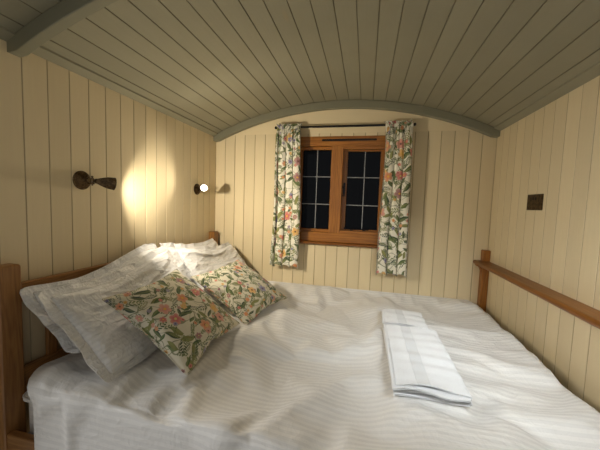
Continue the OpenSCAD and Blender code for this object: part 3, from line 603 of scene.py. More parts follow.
def sideLinings():
    edges = boardEdges(openY, endY, endY - boards["firstJoint"], boards["pitch"])
    for side, name in ((-1, "left_wall"), (1, "right_wall")):
        made = uprights(edges, floorZ, eavesZ + 0.002, (side * halfX, 0, 0), (0, 1, 0), (-side, 0, 0), liningT,
                        boards["v"], lambda x: arcHeight(np.maximum(np.abs(x), halfX)))
        piece(name + "_boards", made, creamBoards, "cream_paint", name + "_lining")


def endLining():
    joint = corners("end_wall_lining")[1][2]
    edges = np.linspace(-halfX, halfX, boards["endCount"] + 1)
    plane = (0, endY, 0), (1, 0, 0), (0, -1, 0), liningT
    made = boardsRoundWindow(edges, floorZ, joint, *plane, boards["v"], arcHeight)
    for side in (-1, 1):                                   # the boards' bare ends behind the side linings
        ends = np.sort([side * halfX, side * (halfX + liningT)])
        made += uprights(ends, floorZ, joint, *plane, 0.0005, arcHeight)
    piece("end_wall_boards", made, creamBoards, "cream_paint", "end_wall_lining")
    dress(creamBoards, "end_wall_head_panel")


def ceilingBoardsAbove():
    low, high = corners("ceiling_lining")
    half = math.asin(halfX / arcR)
    count = boards["ceilingCount"]
    outer = math.asin(high[0] / (arcR + liningT))
    edges = np.r_[-outer, -half + 2 * half / count * np.arange(count + 1), outer]
    made = []
    for a, b in zip(edges[:-1], edges[1:]):
        phi = (a + b) / 2
        radial = np.array([math.sin(phi), 0, math.cos(phi)])
        middle = np.array([0, 0, arcZ]) + radial * (arcR + liningT / 2 + dice.uniform(0, boards["shy"]))
        ring = boardRing((b - a) * arcR, liningT, boards["v"])
        made.append(bar(ring, middle + (0, low[1], 0), middle + (0, high[1], 0), -radial, edge=0.0008))
    piece("ceiling_boards", made, ceilingBoards, "ceiling_paint", "ceiling_lining")


def floorBoardsBelow():
    low, high = corners("floor_boards")
    edges = boardEdges(low[0], high[0], 0.0, boards["floorPitch"])
    made = []
    for a, b in zip(edges[:-1], edges[1:]):
        middle = np.array([(a + b) / 2, 0, (low[2] + high[2]) / 2])
        ring = boardRing(b - a - 0.0006, high[2] - low[2], 0.0015)
        made.append(bar(ring, middle + (0, low[1], 0), middle + (0, high[1], 0), (0, 0, 1)))
    piece("floor_planks", made, sawnWood, "floor_timber", "floor_boards")


def outerCladding():
    low, high = corners("left_wall_cladding")
    thick = high[0] - low[0]
    roofR = corners("roof_core")[1][2] - arcZ
    for side, name in ((-1, "left_wall"), (1, "right_wall")):
        edges = boardEdges(low[1], high[1], low[1] + 0.03, boards["outerPitch"])
        made = uprights(edges, low[2], high[2], (side * abs(low[0]), 0, 0), (0, 1, 0), (side, 0, 0), thick,
                        boards["outerV"], lambda x: arcHeight(x, roofR))
        piece(name + "_outer_boards", made, outerPaint, "outer_paint", name + "_cladding")
    low, high = corners("end_wall_cladding")
    edges = boardEdges(low[0], high[0], 0.0, boards["outerPitch"])
    made = boardsRoundWindow(edges, low[2], high[2], (0, high[1], 0), (1, 0, 0), (0, 1, 0), high[1] - low[1],
                             boards["outerV"], lambda x: arcHeight(x, roofR))
    piece("end_wall_outer_boards", made, outerPaint, "outer_paint", "end_wall_cladding")


sideLinings()
endLining()
ceilingBoardsAbove()
floorBoardsBelow()
outerCladding()
print("boards laid")

# Arches, cornices, fascia
arch = {"depth": 0.057, "round": 0.004, "steps": 90, "past": 0.035}


# Curved bar under an arc: the ring's x runs along the hut and its y outwards from the arc's centre;
# places past the walls and the flat feet are held at them
def curvedBar(radius, depth, y0, y1, footZ):
    ring = roundedRing(y1 - y0, depth, arch["round"])
    reach = math.asin(halfX / radius) + arch["past"]
    phi = np.linspace(-reach, reach, arch["steps"])
    radial = np.stack([np.sin(phi), 0 * phi, np.cos(phi)], 1)
    path = np.array([0, (y0 + y1) / 2, arcZ]) + radial * (radius - depth / 2)
    points = path[:, None] + ring[None, :, :1] * np.array([0, 1.0, 0]) + ring[None, :, 1:] * radial[:, None]
    points[..., 0] = np.clip(points[..., 0], -halfX, halfX)
    points[..., 2] = np.maximum(points[..., 2], footZ)
    rings = np.broadcast_to(ring, (*points.shape[:2], 2))
    return ringed(points, alongGrain(phi * radius, rings) + dice.uniform(0, 9, 3))


def arches():
    for node in ("end_arch", "near_arch"):
        low, high = corners(node)
        piece(node + "_timber", [curvedBar(arcR, arch["depth"], low[1], high[1], footZ=low[2])], archPaint,
              "arch_paint", node)
    dress(ceilingBoards, "cornices")
    dress(outerPaint, "end_fascia", "outer_sill")


arches()
print("arches set")


# Place in the room: across the hut, along it from the window wall, above the floor
def spot(x, y, z):
    return np.array([x, endY + y, floorZ + z], float)


# Spiral in the plane of two directions, its radius going evenly from r0 to r1 over the turn
def curl(centre, r0, r1, start, turn, across, up, n=36):
    angle, r = np.linspace(start, start + turn, n)[:, None], np.linspace(r0, r1, n)[:, None]
    return centre + r * (np.cos(angle) * np.array(across, float) + np.sin(angle) * np.array(up, float))


# Board's section with a round nosing on one edge and a square back; side is the nosed edge's sign
def nosedRing(width, thick, side):
    turn = np.linspace(-math.pi / 2, math.pi / 2, 9)
    nose = np.stack([width / 2 - thick / 2 + thick / 2 * np.cos(turn), thick / 2 * np.sin(turn)], 1)
    ring = np.vstack([nose, [(-width / 2, thick / 2), (-width / 2, -thick / 2)]])
    return ring if side > 0 else (ring * (-1, 1))[::-1]


# Small dome-headed screw or rivet standing on a face
def rivet(place, out, r, h=None):
    h = h or 0.45 * r
    dome = [(-0.2 * h, r), (0.2 * h, r), (0.62 * h, 0.78 * r), (0.93 * h, 0.4 * r), (h, 0.03 * r)]
    return turned(dome, place, out, 16)


# Window
window = {
    "jamb": 0.036, "rail": 0.075, "bead": 0.025,   # widths of the frame's members
    "beadFace": 0.027,                             # set-back of the fixed light's beads
    "mullion": (-0.077, 0.016),
    "stile": 0.046, "sashRail": 0.034,
    "panes": [((-0.319, 0.046, 1.250), (-0.077, 0.050, 1.900), -0.198),
              ((0.051, 0.0673, 1.261), (0.309, 0.0713, 1.889), 0.188)],   # with the upright lead's place
    "leadLevels": (1.682, 1.456), "leadWidth": 0.0075, "leadDepth": 0.0016,
    "latchAt": (0.032, 1.600), "latchDrop": 0.066,
    "stem": [(0, 0.0085), (0.002, 0.0085), (0.0035, 0.0062), (0.012, 0.0058), (0.0135, 0.0075), (0.021, 0.0078),
             (0.0228, 0.0062), (0.0236, 0.003), (0.0239, 0.0002)],   # the latch's turned stem
    "vent": (0.056, 1.970, 0.430, 0.016),
}


def windowTimber():
    low, high = corners("window_frame")
    sashLow, sashHigh = corners("casement_sash")
    x0, x1 = low[0] + window["jamb"], high[0] - window["jamb"]
    m0, m1 = window["mullion"]
    bead, front, rear, back = window["bead"], low[1], high[1], sashLow[1] - 0.0003
    under, above = low[2] + window["rail"], high[2] - window["rail"]
    face = front + window["beadFace"]
    frameParts = [
        beam((low[0], front, low[2]), (x0, rear, high[2])),
        beam((x1, front, low[2]), (high[0], back, high[2])),
        beam((sashHigh[0] + 0.0003, back, low[2]), (high[0], rear, high[2])),
        beam((x0, front, above), (x1, rear, high[2]), 0),
        beam((x0, front, low[2]), (x1, rear, under), 0),
        beam((m0, front, under), (m1, back, above)),
        beam((m0, back, under), (sashLow[0] - 0.0003, rear, above)),
        beam((m1, front + 0.0012, above - bead), (x1, back, above), 0),   # stops round the casement
        beam((m1, front + 0.0012, under), (x1, back, under + bead), 0),
        beam((x0, face, above - bead), (m0, rear, above), 0, r=0.005),    # beads round the fixed pane
        beam((x0, face, under), (m0, rear, under + bead), 0, r=0.005),
        beam((x0, face, under + bead), (x0 + bead, rear, above - bead), r=0.005),
    ]
    piece("window_frame_timber", frameParts, oakWood, "oak", "window_frame")
    stile, rail = window["stile"], window["sashRail"]
    sashParts = [
        beam(sashLow, (sashLow[0] + stile, sashHigh[1], sashHigh[2])),
        beam((sashHigh[0] - stile, sashLow[1], sashLow[2]), sashHigh),
        beam((sashLow[0] + stile, *sashLow[1:]), (sashHigh[0] - stile, sashHigh[1], sashLow[2] + rail), 0),
        beam((sashLow[0] + stile, sashLow[1], sashHigh[2] - rail), (sashHigh[0] - stile, *sashHigh[1:]), 0),
    ]
    piece("casement_timber", sashParts, oakWood, "oak", "casement_sash")
    low, high = corners("window_board")
    middle = (low + high) / 2
    board = bar(nosedRing(high[1] - low[1], high[2] - low[2], -1), (low[0], *middle[1:]),
                (high[0], *middle[1:]), (0, 0, 1), edge=0.003)
    # the window board takes the darker oak, which is painted shade
    piece("window_board_timber", [board], shadedOak, "oak", "window_board")


def leadBars():
    made = []
    wide, deep = window["leadWidth"], window["leadDepth"]
    for low, high, uprightX in window["panes"]:
        for out, y in ((-1, low[1]), (1, high[1])):
            def strip(a, b):
                a, b = spot(*a), spot(*b)
                face = np.array([0, out * deep / 2, 0])
                return bar(roundedRing(wide, deep, 0.0007, 2), a + face, b + face, (0, out, 0), 0.0002)
            made.append(strip((uprightX, y, low[2]), (uprightX, y, high[2])))
            for z in window["leadLevels"]:
                made.append(strip((low[0], y, z), (high[0], y, z)))
                made.append(rivet(spot(uprightX, y + out * deep, z), (0, out, 0), 0.0058, 0.0012))
    piece("window_leads", made, lead, "dark_iron")


def windowCatches():
    x, z = window["latchAt"]
    sashY = corners("casement_sash")[0][1] - endY
    up, out, rod = (0, 0, 1), (0, -1, 0), circleRing(1.0, 16)

    # a flat plate on the timber: its width and height, corner radius, middle, thickness and eased edge
    def plateOn(wide, tall, r, middle, thick, edge):
        return bar(roundedRing(wide, tall, r), spot(*middle), spot(*middle) + (0, -thick, 0), up, edge)
    plate = plateOn(0.018, 0.096, 0.0085, (x, sashY, z - 0.0096), 0.004, 0.0008)
    stem = turned(window["stem"], spot(x, sashY - 0.003, z), out, 24)
    leverY = sashY - 0.021
    end = spot(x - 0.003, leverY - 0.002, z - window["latchDrop"])
    grip = [spot(x - 0.001, leverY, z + 0.012), spot(x, leverY, z), spot(x + 0.0015, leverY, z - 0.030),
            spot(x + 0.0042, leverY - 0.002, z - 0.058)]
    handle = np.vstack([smoothed(grip, 8), curl(end, 0.0076, 0.0022, 0.0, -1.75 * math.pi, (1, 0, 0), up)])
    lever = tapered(rod, handle, [0, 0.12, 0.3, 0.75, 1], [0.003, 0.0058, 0.0048, 0.0035, 0.0018], (0, 1, 0))
    nose = tube(rod, smoothed([spot(x, leverY, z), spot(x - 0.008, leverY + 0.003, z),
                               spot(x - 0.0145, leverY + 0.008, z)], 6), 0.0042, up=up)
    keep = bar(roundedRing(0.020, 0.034, 0.004), spot(window["mullion"][1], leverY + 0.010, z),
               spot(window["mullion"][1] + 0.0016, leverY + 0.010, z), up, 0.0004)
    stayY, stayZ = sashY - 0.0055, 1.261
    rest = [spot(0.243, stayY, stayZ), spot(0.200, stayY, stayZ), spot(0.070, stayY, stayZ),
            spot(0.054, stayY, stayZ + 0.0004)]
    arm = np.vstack([smoothed(rest, 10), curl(spot(0.053, stayY - 0.001, stayZ + 0.0078), 0.0074, 0.0025,
                                              -math.pi / 2, -1.6 * math.pi, (1, 0, 0), up)])
    stay = tapered(rod, arm, [0, 0.02, 0.5, 1], [0.0030, 0.0048, 0.0045, 0.0018], (0, 1, 0))
    parts = [plate, stem, lever, nose, keep, stay]
    parts += [rivet(spot(x, sashY - 0.004, z + dz), out, 0.0035, 0.001) for dz in (0.030, -0.048)]
    for px in (0.105, 0.205):
        parts.append(turned([(0, 0.006), (0.0015, 0.006), (0.002, 0.0026), (0.010, 0.0026), (0.0108, 0.0004)],
                            spot(px, sashY - 0.0055, stayZ - 0.004), up, 16))
        parts.append(plateOn(0.022, 0.012, 0.003, (px, sashY, stayZ - 0.008), 0.007, 0.0006))
    vx, vz, length, height = window["vent"]
    frameY = corners("window_frame")[0][1] - endY
    parts.append(plateOn(length, height, 0.0075, (vx, frameY, vz), 0.0022, 0.0008))
    parts.append(plateOn(length * 0.86, height * 0.34, 0.0022, (vx, frameY - 0.002, vz + 0.001), 0.0016,
                         0.0006))
    parts += [rivet(spot(vx + s * 0.475 * length, frameY - 0.0022, vz), out, 0.003, 0.0009) for s in (-1, 1)]
    piece("window_catches", parts, iron, "dark_iron", "window_ironwork")


# Glass tinted nearly black as painted darkness of the night beyond it, with old glass's slow ripple in what it
# mirrors
def glassTintedAsNight():
    material, tree, sockets = newMaterial("glass tinted black as painted night", **{
        "Base Color": (0.003, 0.0032, 0.0035, 1), "IOR": 1.12, "Transmission Weight": 1.0,
        "Specular IOR Level": 0.05})
    place = objectPlace(tree)
    aged = useGroup(handling, Vector=place, Scale=6.0)
    feed(sockets["Roughness"], timesPlus(aged["Patch"], 0.03, 0.02))
    feed(sockets["Normal"], relief(noise(place, 9.0, 1), 0.0015, 0.25))
    return material


windowTimber()
leadBars()
windowCatches()
dress(glassTintedAsNight(), "window_glass")
print("window hung")

# Curtain pole
pole = {"r": 0.008, "half": 0.530, "out": 0.062, "bracketAt": 0.502, "rose": 0.017}


def curtainPole():
    low, high = corners("curtain_pole")
    y, z = endY - pole["out"], (low[2] + high[2]) / 2
    r, half = pole["r"], pole["half"]
    parts = [tube(circleRing(r, 28), [(-half, y, z), (-half / 2, y, z), (half / 2, y, z), (half, y, z)])]
    knob = smoothed([(-0.018, 0.0082), (-0.017, 0.0104), (-0.012, 0.0106), (-0.0105, 0.0086), (-0.009, 0.0072),
                     (-0.0065, 0.0094), (0.0, 0.0124), (0.006, 0.0108), (0.0108, 0.0058), (0.0124, 0.0004)], 4)
    cup = smoothed([(-0.0002, pole["rose"]), (0.003, pole["rose"]), (0.0044, 0.0150), (0.0050, 0.0118),
                    (0.0078, 0.0080), (0.0110, 0.0052), (0.0160, 0.0042), (0.0400, 0.0040),
                    (0.0520, 0.0044)], 4)
    for side in (-1, 1):
        x = side * pole["bracketAt"]
        parts.append(turned(knob, (side * half, y, z), (side, 0, 0), 32))
        parts.append(turned(cup, (x, endY, z), (0, -1, 0), 28))
        eye = r + 0.0028
        loop = curl(np.array([x, y, z]), eye, eye, 0, 2 * math.pi, (0, 1, 0), (0, 0, 1), 37)[:-1]
        parts.append(tube(circleRing(0.0032, 12), loop, looped=True, up=(1, 0, 0)))
        parts += [rivet((x + dx, endY - 0.0034, z), (0, -1, 0), 0.0028) for dx in (-0.0122, 0.0122)]
    piece("curtain_rail", parts, iron, "dark_iron", "curtain_pole")


curtainPole()

# Wall lamps
lamp = {
    "out": 0.062,                                       # the swivel's distance from the wall
    "rose": [(0, 0.0440), (0.0030, 0.0440), (0.0046, 0.0430), (0.0058, 0.0405), (0.0062, 0.0385),
             (0.0082, 0.0382), (0.0104, 0.0370), (0.0116, 0.0335), (0.0119, 0.0312), (0.0142, 0.0308),
             (0.0162, 0.0285), (0.0170, 0.0240), (0.0174, 0.0222), (0.0194, 0.0212), (0.0208, 0.0170),
             (0.0214, 0.0130), (0.0242, 0.0110), (0.0262, 0.0070), (0.0266, 0.0005)],
    "swivel": [(-0.0240, 0.0004), (-0.0234, 0.0028), (-0.0212, 0.0042), (-0.0192, 0.0028), (-0.0182, 0.0040),
               (-0.0176, 0.0080), (-0.0160, 0.0089), (-0.0105, 0.0089), (-0.0084, 0.0080), (-0.0080, 0.0039),
               (0.0080, 0.0039), (0.0082, 0.0060), (0.0094, 0.0068), (0.0116, 0.0066), (0.0126, 0.0044),
               (0.0134, 0.0026), (0.0146, 0.0038), (0.0172, 0.0050), (0.0198, 0.0042), (0.0216, 0.0016),
               (0.0219, 0.0003)],
    "collar": [(-0.0075, 0.0044), (-0.0075, 0.0078), (-0.0068, 0.0088), (-0.0045, 0.0092), (-0.0030, 0.0087),
               (0.0030, 0.0087), (0.0045, 0.0092), (0.0068, 0.0088), (0.0075, 0.0078), (0.0075, 0.0044)],
    "neck": 0.010, "mouth": 0.030, "length": 0.072, "start": 0.0173,
    "flutes": 14, "fluteDepth": 0.0026, "wall": 0.0011,
    "near": (-1.243, 1.527, 63, -6), "far": (-0.287, 1.540, -59, 6),   # along the wall, height, turn and tilt
}


# Radius of the shade at a share of its length: a narrow neck that swells to a flared mouth
def shadeRadius(s):
    return lamp["neck"] + (lamp["mouth"] - lamp["neck"]) * s ** 0.75 * (1 + 0.18 * np.sin(math.pi * s))


# Rounded flutes that deepen towards the mouth and die into a plain rim, sharp only in the valleys between them
def flutedBy(s, turn):
    swell = np.abs(np.cos(lamp["flutes"] / 2 * turn)) ** 0.75 - 0.66
    deepens = np.sin(math.pi * np.clip(s, 0, 0.93) ** 0.7 / 1.05)
    return 1 + swell * lamp["fluteDepth"] / np.maximum(shadeRadius(s), 0.01) * deepens


def wallLamp(side):
    along, height, turn, tilt = lamp[side]
    axis = spot(-halfX + lamp["out"], along, height)
    turn, tilt = math.radians(turn), math.radians(tilt)
    aim = np.array([math.cos(turn) * math.cos(tilt), math.sin(turn) * math.cos(tilt), math.sin(tilt)])
    wall = axis - (lamp["out"], 0, 0)
    rod, flat = circleRing(1.0, 20), (0, 1, 0)
    arm = smoothed([axis + (-0.040, 0, 0.001), axis + (-0.034, 0, -0.003), axis + (-0.028, 0, -0.0105),
                    axis + (-0.018, 0, -0.0134), axis + (-0.006, 0, -0.0136), axis + (0, 0, -0.0136)], 8)
    foot = [axis + (-0.041, 0, 0.002), axis + (-0.0395, 0, 0.008), axis + (-0.0362, 0, 0.0152)]
    rise = np.vstack([smoothed(foot, 6), curl(axis + (-0.028, 0, 0.0142), 0.0081, 0.0030, math.pi - 0.15,
                                              -2.7 * math.pi, (1, 0, 0), (0, 0, 1), 60)])
    parts = [turned(smoothed(lamp["rose"], 3), wall, (1, 0, 0), 72),
             tapered(rod, arm, [0, 0.4, 0.55, 1], [0.0052, 0.0046, 0.0056, 0.0044], flat),
             tapered(rod, rise, [0, 0.25, 1], [0.0040, 0.0034, 0.0022], flat),
             turned(lamp["swivel"], axis, (0, 0, 1), 36),
             *(rivet(wall + (0.0118, dy, 0), (1, 0, 0), 0.0026) for dy in (0.0345, -0.0345))]
    piece(side + "_lamp_wall_arm", parts, bronze, "antique_bronze", side + "_lamp_bracket")
    body = side + "_lamp_head"
    neck = smoothed([(0.0080, 0.0056), (0.0100, 0.0060), (0.0112, 0.0100), (0.0124, 0.0118), (0.0140, 0.0108),
                     (0.0152, 0.0118), (0.0168, 0.0122), (0.0176, 0.0106), (0.0182, 0.0080)], 3)
    s = np.linspace(0, 1, 36)
    h, r, wallT = lamp["start"] + s * lamp["length"], shadeRadius(s), lamp["wall"]
    lip = [(h[-1] + 0.0004, r[-1] + 0.0012), (h[-1] + 0.0016, r[-1] + 0.0008), (h[-1] + 0.0018, r[-1] - 0.0004)]
    inner = np.stack([h[::-1], r[::-1] - wallT], 1)[:30]
    profile = np.vstack([np.stack([h, r], 1), lip, inner])
    place = np.r_[s, np.full(len(lip), np.nan), s[::-1][:30]][:, None]       # nan marks the plain lip
    shade = turned(profile, axis, aim, 168,
                   lambda a, k: np.where(np.isnan(place), 1.0, flutedBy(np.nan_to_num(place), a)))
    collar = turned(lamp["collar"], axis, (0, 0, 1), 36, looped=True)
    piece(side + "_lamp_shade", [collar, turned(neck, axis, aim, 40), shade], bronze, "antique_bronze", body,
          body)
    face = lamp["start"] + 0.88 * lamp["length"]
    dome = smoothed([(face - 0.030, 0.0120), (face - 0.012, 0.0205), (face - 0.001, 0.0240), (face, 0.0238),
                     (face + 0.0010, 0.0200), (face + 0.0022, 0.0100), (face + 0.0026, 0.0004)], 4)
    bulb = turned(dome, axis, aim, 48)
    piece(side + "_lamp_bulb", [bulb], bulbGlass, "pane_glass", body=body)


# Lit bulb: a warm white face, brightest in the middle of its lens facets
def litGlass():
    material, tree, sockets = newMaterial("lit bulb", **{
        "Emission Strength": 6.0, "Base Color": (0.9, 0.88, 0.82, 1)})
    cells = put(tree, "TexVoronoi", {"Vector": objectPlace(tree), "Scale": 260.0}).outputs["Distance"]
    feed(sockets["Emission Color"], over(step(cells, 0.2, 0.7), (1.0, 0.93, 0.80), (0.86, 0.72, 0.52)))
    feed(sockets["Roughness"], timesPlus(cells, 0.2, 0.15))
    feed(sockets["Normal"], relief(cells, 0.0004))
    return material


bulbGlass = litGlass()
wallLamp("near")
wallLamp("far")
print("pole and lamps up")

# Double socket
socket = {"size": (0.146, 0.086), "pins": ((0, 0.011, 0.0042, 0.0085), (-0.0110, -0.0108, 0.0068, 0.0042),
                                           (0.0110, -0.0108, 0.0068, 0.0042))}


def doubleSocket():
    low, high = corners("socket_plate")
    middle = (low + high) / 2
    wall, out, up = np.array([high[0], middle[1], middle[2]]), np.array([-1.0, 0, 0]), (0, 0, 1)

    # a slab on the plate: its place across and up from the middle, its size, and its two depths from the wall
    def slab(dy, dz, wide, tall, back, front, r, edge):
        at = wall + (0, dy, dz)
        return bar(roundedRing(wide, tall, r), at + out * back, at + out * front, up, edge)
    wide, tall = socket["size"]
    plate = [slab(0, 0, wide, tall, 0, 0.0032, 0.004, 0.0014),
             slab(0, 0, wide - 0.011, tall - 0.011, 0.003, 0.0050, 0.003, 0.0012)]
    dark = []
    for side in (-1, 1):
        plate.append(rivet(wall + out * 0.005 + (0, side * 0.0605, 0), out, 0.0032, 0.0012))
        dark.append(slab(side * 0.012, 0.0195, 0.0115, 0.0165, 0.0045, 0.0070, 0.0018, 0.0012))
        dark += [slab(side * 0.0385 + dy, dz - 0.004, w, h, 0.0045, 0.0053, 0.0006, 0.0001)
                 for dy, dz, w, h in socket["pins"]]
    piece("socket_cover", plate, bronze, "antique_bronze", "socket_plate")
    piece("socket_rockers", dark, iron, "dark_iron")


doubleSocket()

# Foot shelf
shelf = {"postWide": 0.045, "postDeep": 0.052, "bracketReach": 0.038, "bracketDrop": 0.068,
         "bracketThick": 0.030, "lip": 0.008}


def footShelf():
    low, high = corners("foot_shelf")
    middle = (low + high) / 2
    board = bar(nosedRing(high[0] - low[0], high[2] - low[2], 1), (middle[0], low[1], middle[2]),
                (middle[0], high[1], middle[2]), (0, 0, 1), 0.002)
    piece("foot_shelf_board", [board], shadedOak, "oak", "foot_shelf")
    postLow, postHigh = corners("shelf_posts")
    x0, deep, parts = postHigh[0] - shelf["postWide"], shelf["postDeep"], []
    sweep = np.radians(np.linspace(0, 90, 13))
    reach, drop, lip = shelf["bracketReach"], shelf["bracketDrop"] - shelf["lip"], shelf["lip"]
    hollow = np.stack([reach * (1 - np.sin(sweep)), drop * (np.cos(sweep) - 1) - lip], 1)
    ring = np.vstack([[(0, 0), (reach, 0)], hollow])
    middleRing = (ring.max(0) + ring.min(0)) / 2
    for y in (postLow[1], postHigh[1] - deep):
        parts.append(beam((x0, y, postLow[2]), (postHigh[0], y + deep, low[2]), 2, 0))
        parts.append(beam((x0, y, high[2]), (postHigh[0], y + deep, postHigh[2]), 2, 0, r=0.004, edge=0.005))
        at = np.array([x0 - middleRing[0], y + deep / 2, low[2] - 0.0003 + middleRing[1]])
        half = (0, shelf["bracketThick"] / 2, 0)
        parts.append(bar((ring - middleRing)[::-1], at - half, at + half, (0, 0, 1), 0.0015))
    piece("shelf_post_timber", parts, oakWood, "oak", "shelf_posts")


footShelf()

# Bed frame
bed = {"postDeep": 0.072, "rail": 0.028, "topRail": 0.075, "bars": 11, "barSize": (0.040, 0.018),
       "slats": 11, "slatWide": 0.080, "ledger": 0.030}


def bedFrame():
    low, high = corners("headboard_posts")
    deep = bed["postDeep"]
    posts = [beam((low[0], y, low[2]), (high[0], y + deep, high[2]), 2, 0, r=0.006, edge=0.009)
             for y in (low[1], high[1] - deep)]
    piece("headboard_post_timber", posts, pineWood, "waxed_pine", "headboard_posts")
    low, high = corners("headboard_rails")
    y0, y1 = low[1], high[1]
    lowTop = low[2] + 0.150
    parts = [beam((low[0], y0, high[2] - bed["topRail"]), high, 1, 0, r=0.006),
             beam(low, (high[0], y1, lowTop), 1, 0, r=0.005)]
    wideBar, deepBar = bed["barSize"]
    x, topUnder = (low[0] + high[0]) / 2, high[2] - bed["topRail"]
    for y in np.linspace(y0, y1, bed["bars"] + 2)[1:-1]:
        parts.append(beam((x - deepBar / 2, y - wideBar / 2, lowTop),
                          (x + deepBar / 2, y + wideBar / 2, topUnder), 2, 0))
    piece("headboard_rail_timber", parts, pineWood, "waxed_pine", "headboard_rails")
    low, high = corners("bed_side_rails")
    footLow, footHigh = corners("bed_foot_end")
    slatLow, slatHigh = corners("bed_slats")
    rail, ledger, parts = bed["rail"], bed["ledger"], []
    for y, inside in ((low[1], 1), (high[1] - rail, -1)):
        parts.append(beam((low[0], y, low[2]), (high[0], y + rail, high[2]), 0, 1, r=0.005))
        a = y + rail if inside > 0 else y - ledger
        parts.append(beam((low[0], a, slatLow[2] - ledger), (high[0], a + ledger, slatLow[2]), 0, 1))
    piece("bed_side_rail_timber", parts, pineWood, "waxed_pine", "bed_side_rails")
    parts = [beam((footLow[0], y, footLow[2]), (footHigh[0], y + deep, footHigh[2]), 2, 0, r=0.006, edge=0.007)
             for y in (footLow[1], footHigh[1] - deep)]
    x = (footLow[0] + footHigh[0]) / 2
    parts.append(beam((x - rail / 2, footLow[1] + deep, low[2]), (x + rail / 2, footHigh[1] - deep, high[2]),
                      1, 0, r=0.005))
    piece("bed_foot_timber", parts, pineWood, "waxed_pine", "bed_foot_end")
    x = np.linspace(slatLow[0], slatHigh[0] - bed["slatWide"], bed["slats"])
    slats = [beam((a, slatLow[1], slatLow[2]), (a + bed["slatWide"], slatHigh[1], slatHigh[2]), 1, 2)
             for a in x]
    piece("bed_slat_boards", slats, sawnWood, "floor_timber", "bed_slats")


bedFrame()
print("shelf and bed frame set")

# Cloth tools
cloth = {"runFrames": 22, "padSpacing": 0.011, "duvetSpacing": 0.0195}


# Quads of a grid of indices
def gridFaces(g):
    return np.stack([g[:-1, :-1], g[1:, :-1], g[1:, 1:], g[:-1, 1:]], -1).reshape(-1, 4)


# The outline of a grid of indices, once round
def gridRim(g):
    return np.r_[g[0, :-1], g[:-1, -1], g[-1, :0:-1], g[:0:-1, 0]]


# Unit normals of a grid of places, from the cross product of its two runs
def gridNormals(grid):
    normal = np.cross(np.gradient(grid, axis=0), np.gradient(grid, axis=1))
    return normal / np.maximum(np.linalg.norm(normal, axis=-1, keepdims=True), 1e-9)


# Closed shell of two grids of places, front and back, joined round their rims. rest holds the flat cloth's
# coordinates in metres.
def shellPart(front, back, rest):
    n, m = front.shape[:2]
    top = np.arange(n * m).reshape(n, m)
    rim = gridRim(top)
    after = np.roll(rim, -1)
    edge = np.stack([rim, rim + n * m, after + n * m, after], 1)
    grain = np.concatenate([rest, np.zeros((n, m, 1))], -1).reshape(-1, 3)
    return part(np.vstack([front.reshape(-1, 3), back.reshape(-1, 3)]),
                np.vstack([gridFaces(top), gridFaces(top + n * m)[:, ::-1], edge]), (),
                np.vstack([grain, grain + (0, 0, 1)]))


# Closed sheet round a grid of middle places: each face stands off along the normals by half the thickness
def sheetPart(grid, rest, thick):
    offset = gridNormals(grid) * (np.broadcast_to(thick, grid.shape[:2])[..., None] / 2)
    return shellPart(grid + offset, grid - offset, rest)


# Runs Blender's Cloth on a mesh and gives the places where it settles. grow makes the cloth larger than its
# first shape, so it wrinkles; pressure blows a closed shape up.
def settle(points, quads, pressure=0.0, grow=0.0, pinned=None, stiff=20.0, bend=0.2):
    mesh = bpy.data.meshes.new("settling")
    mesh.from_pydata(points.tolist(), [], quads.tolist())
    made = bpy.data.objects.new("settling", mesh)
    scene.collection.objects.link(made)
    run = made.modifiers.new("settle", "CLOTH")
    way = run.settings
    way.quality, way.mass, way.air_damping = 5, 0.3, 2.0
    way.use_pressure, way.uniform_pressure_force = pressure != 0, pressure
    way.tension_stiffness = way.compression_stiffness = stiff
    way.shear_stiffness, way.bending_stiffness = stiff / 3, bend
    way.effector_weights.gravity, way.shrink_min = 0.0, -grow
    run.collision_settings.use_collision = False
    if pinned is not None:
        made.vertex_groups.new(name="held").add(np.flatnonzero(pinned).tolist(), 1.0, "REPLACE")
        way.vertex_group_mass = "held"
    for count in range(1, cloth["runFrames"] + 1):
        scene.frame_set(count)
    settled = made.evaluated_get(bpy.context.evaluated_depsgraph_get()).to_mesh()
    places = np.empty(3 * len(points), np.float32)
    settled.vertices.foreach_get("co", places)
    bpy.data.objects.remove(made)
    bpy.data.meshes.remove(mesh)
    scene.frame_set(1)
    return places.reshape(-1, 3).astype(float)


# Smooth wandering field: a sum of sine waves, with directions spread about heading and lengths near 2 pi / k
def waves(x, y, heading, k, seed, spread=0.5, count=20):
    pick, total = np.random.default_rng(seed), 0.0
    turns, sizes = pick.normal(heading, spread, count), pick.uniform(0.6, 1.5, count)
    for turn, size, phase in zip(turns, sizes, pick.uniform(0, 6.28, count)):
        total = total + np.sin(k * size * (x * math.cos(turn) + y * math.sin(turn)) + phase)
    return total / math.sqrt(count / 2)


# Fabrics


# Sateen stripes: soft-edged bands across the second cloth coordinate
def stripeGroup():
    group, given, gives = newGroup("sateen stripe", {"Period": 0.025, "Share": 0.5}, ("Stripe",))
    wave = sums("PINGPONG", sums("DIVIDE", axes(given["Vector"])[1], given["Period"]), 0.5)
    limit = times(given["Share"], 0.5)
    close(gives, Stripe=step(minus(wave, limit), -0.03, 0.03))
    return group


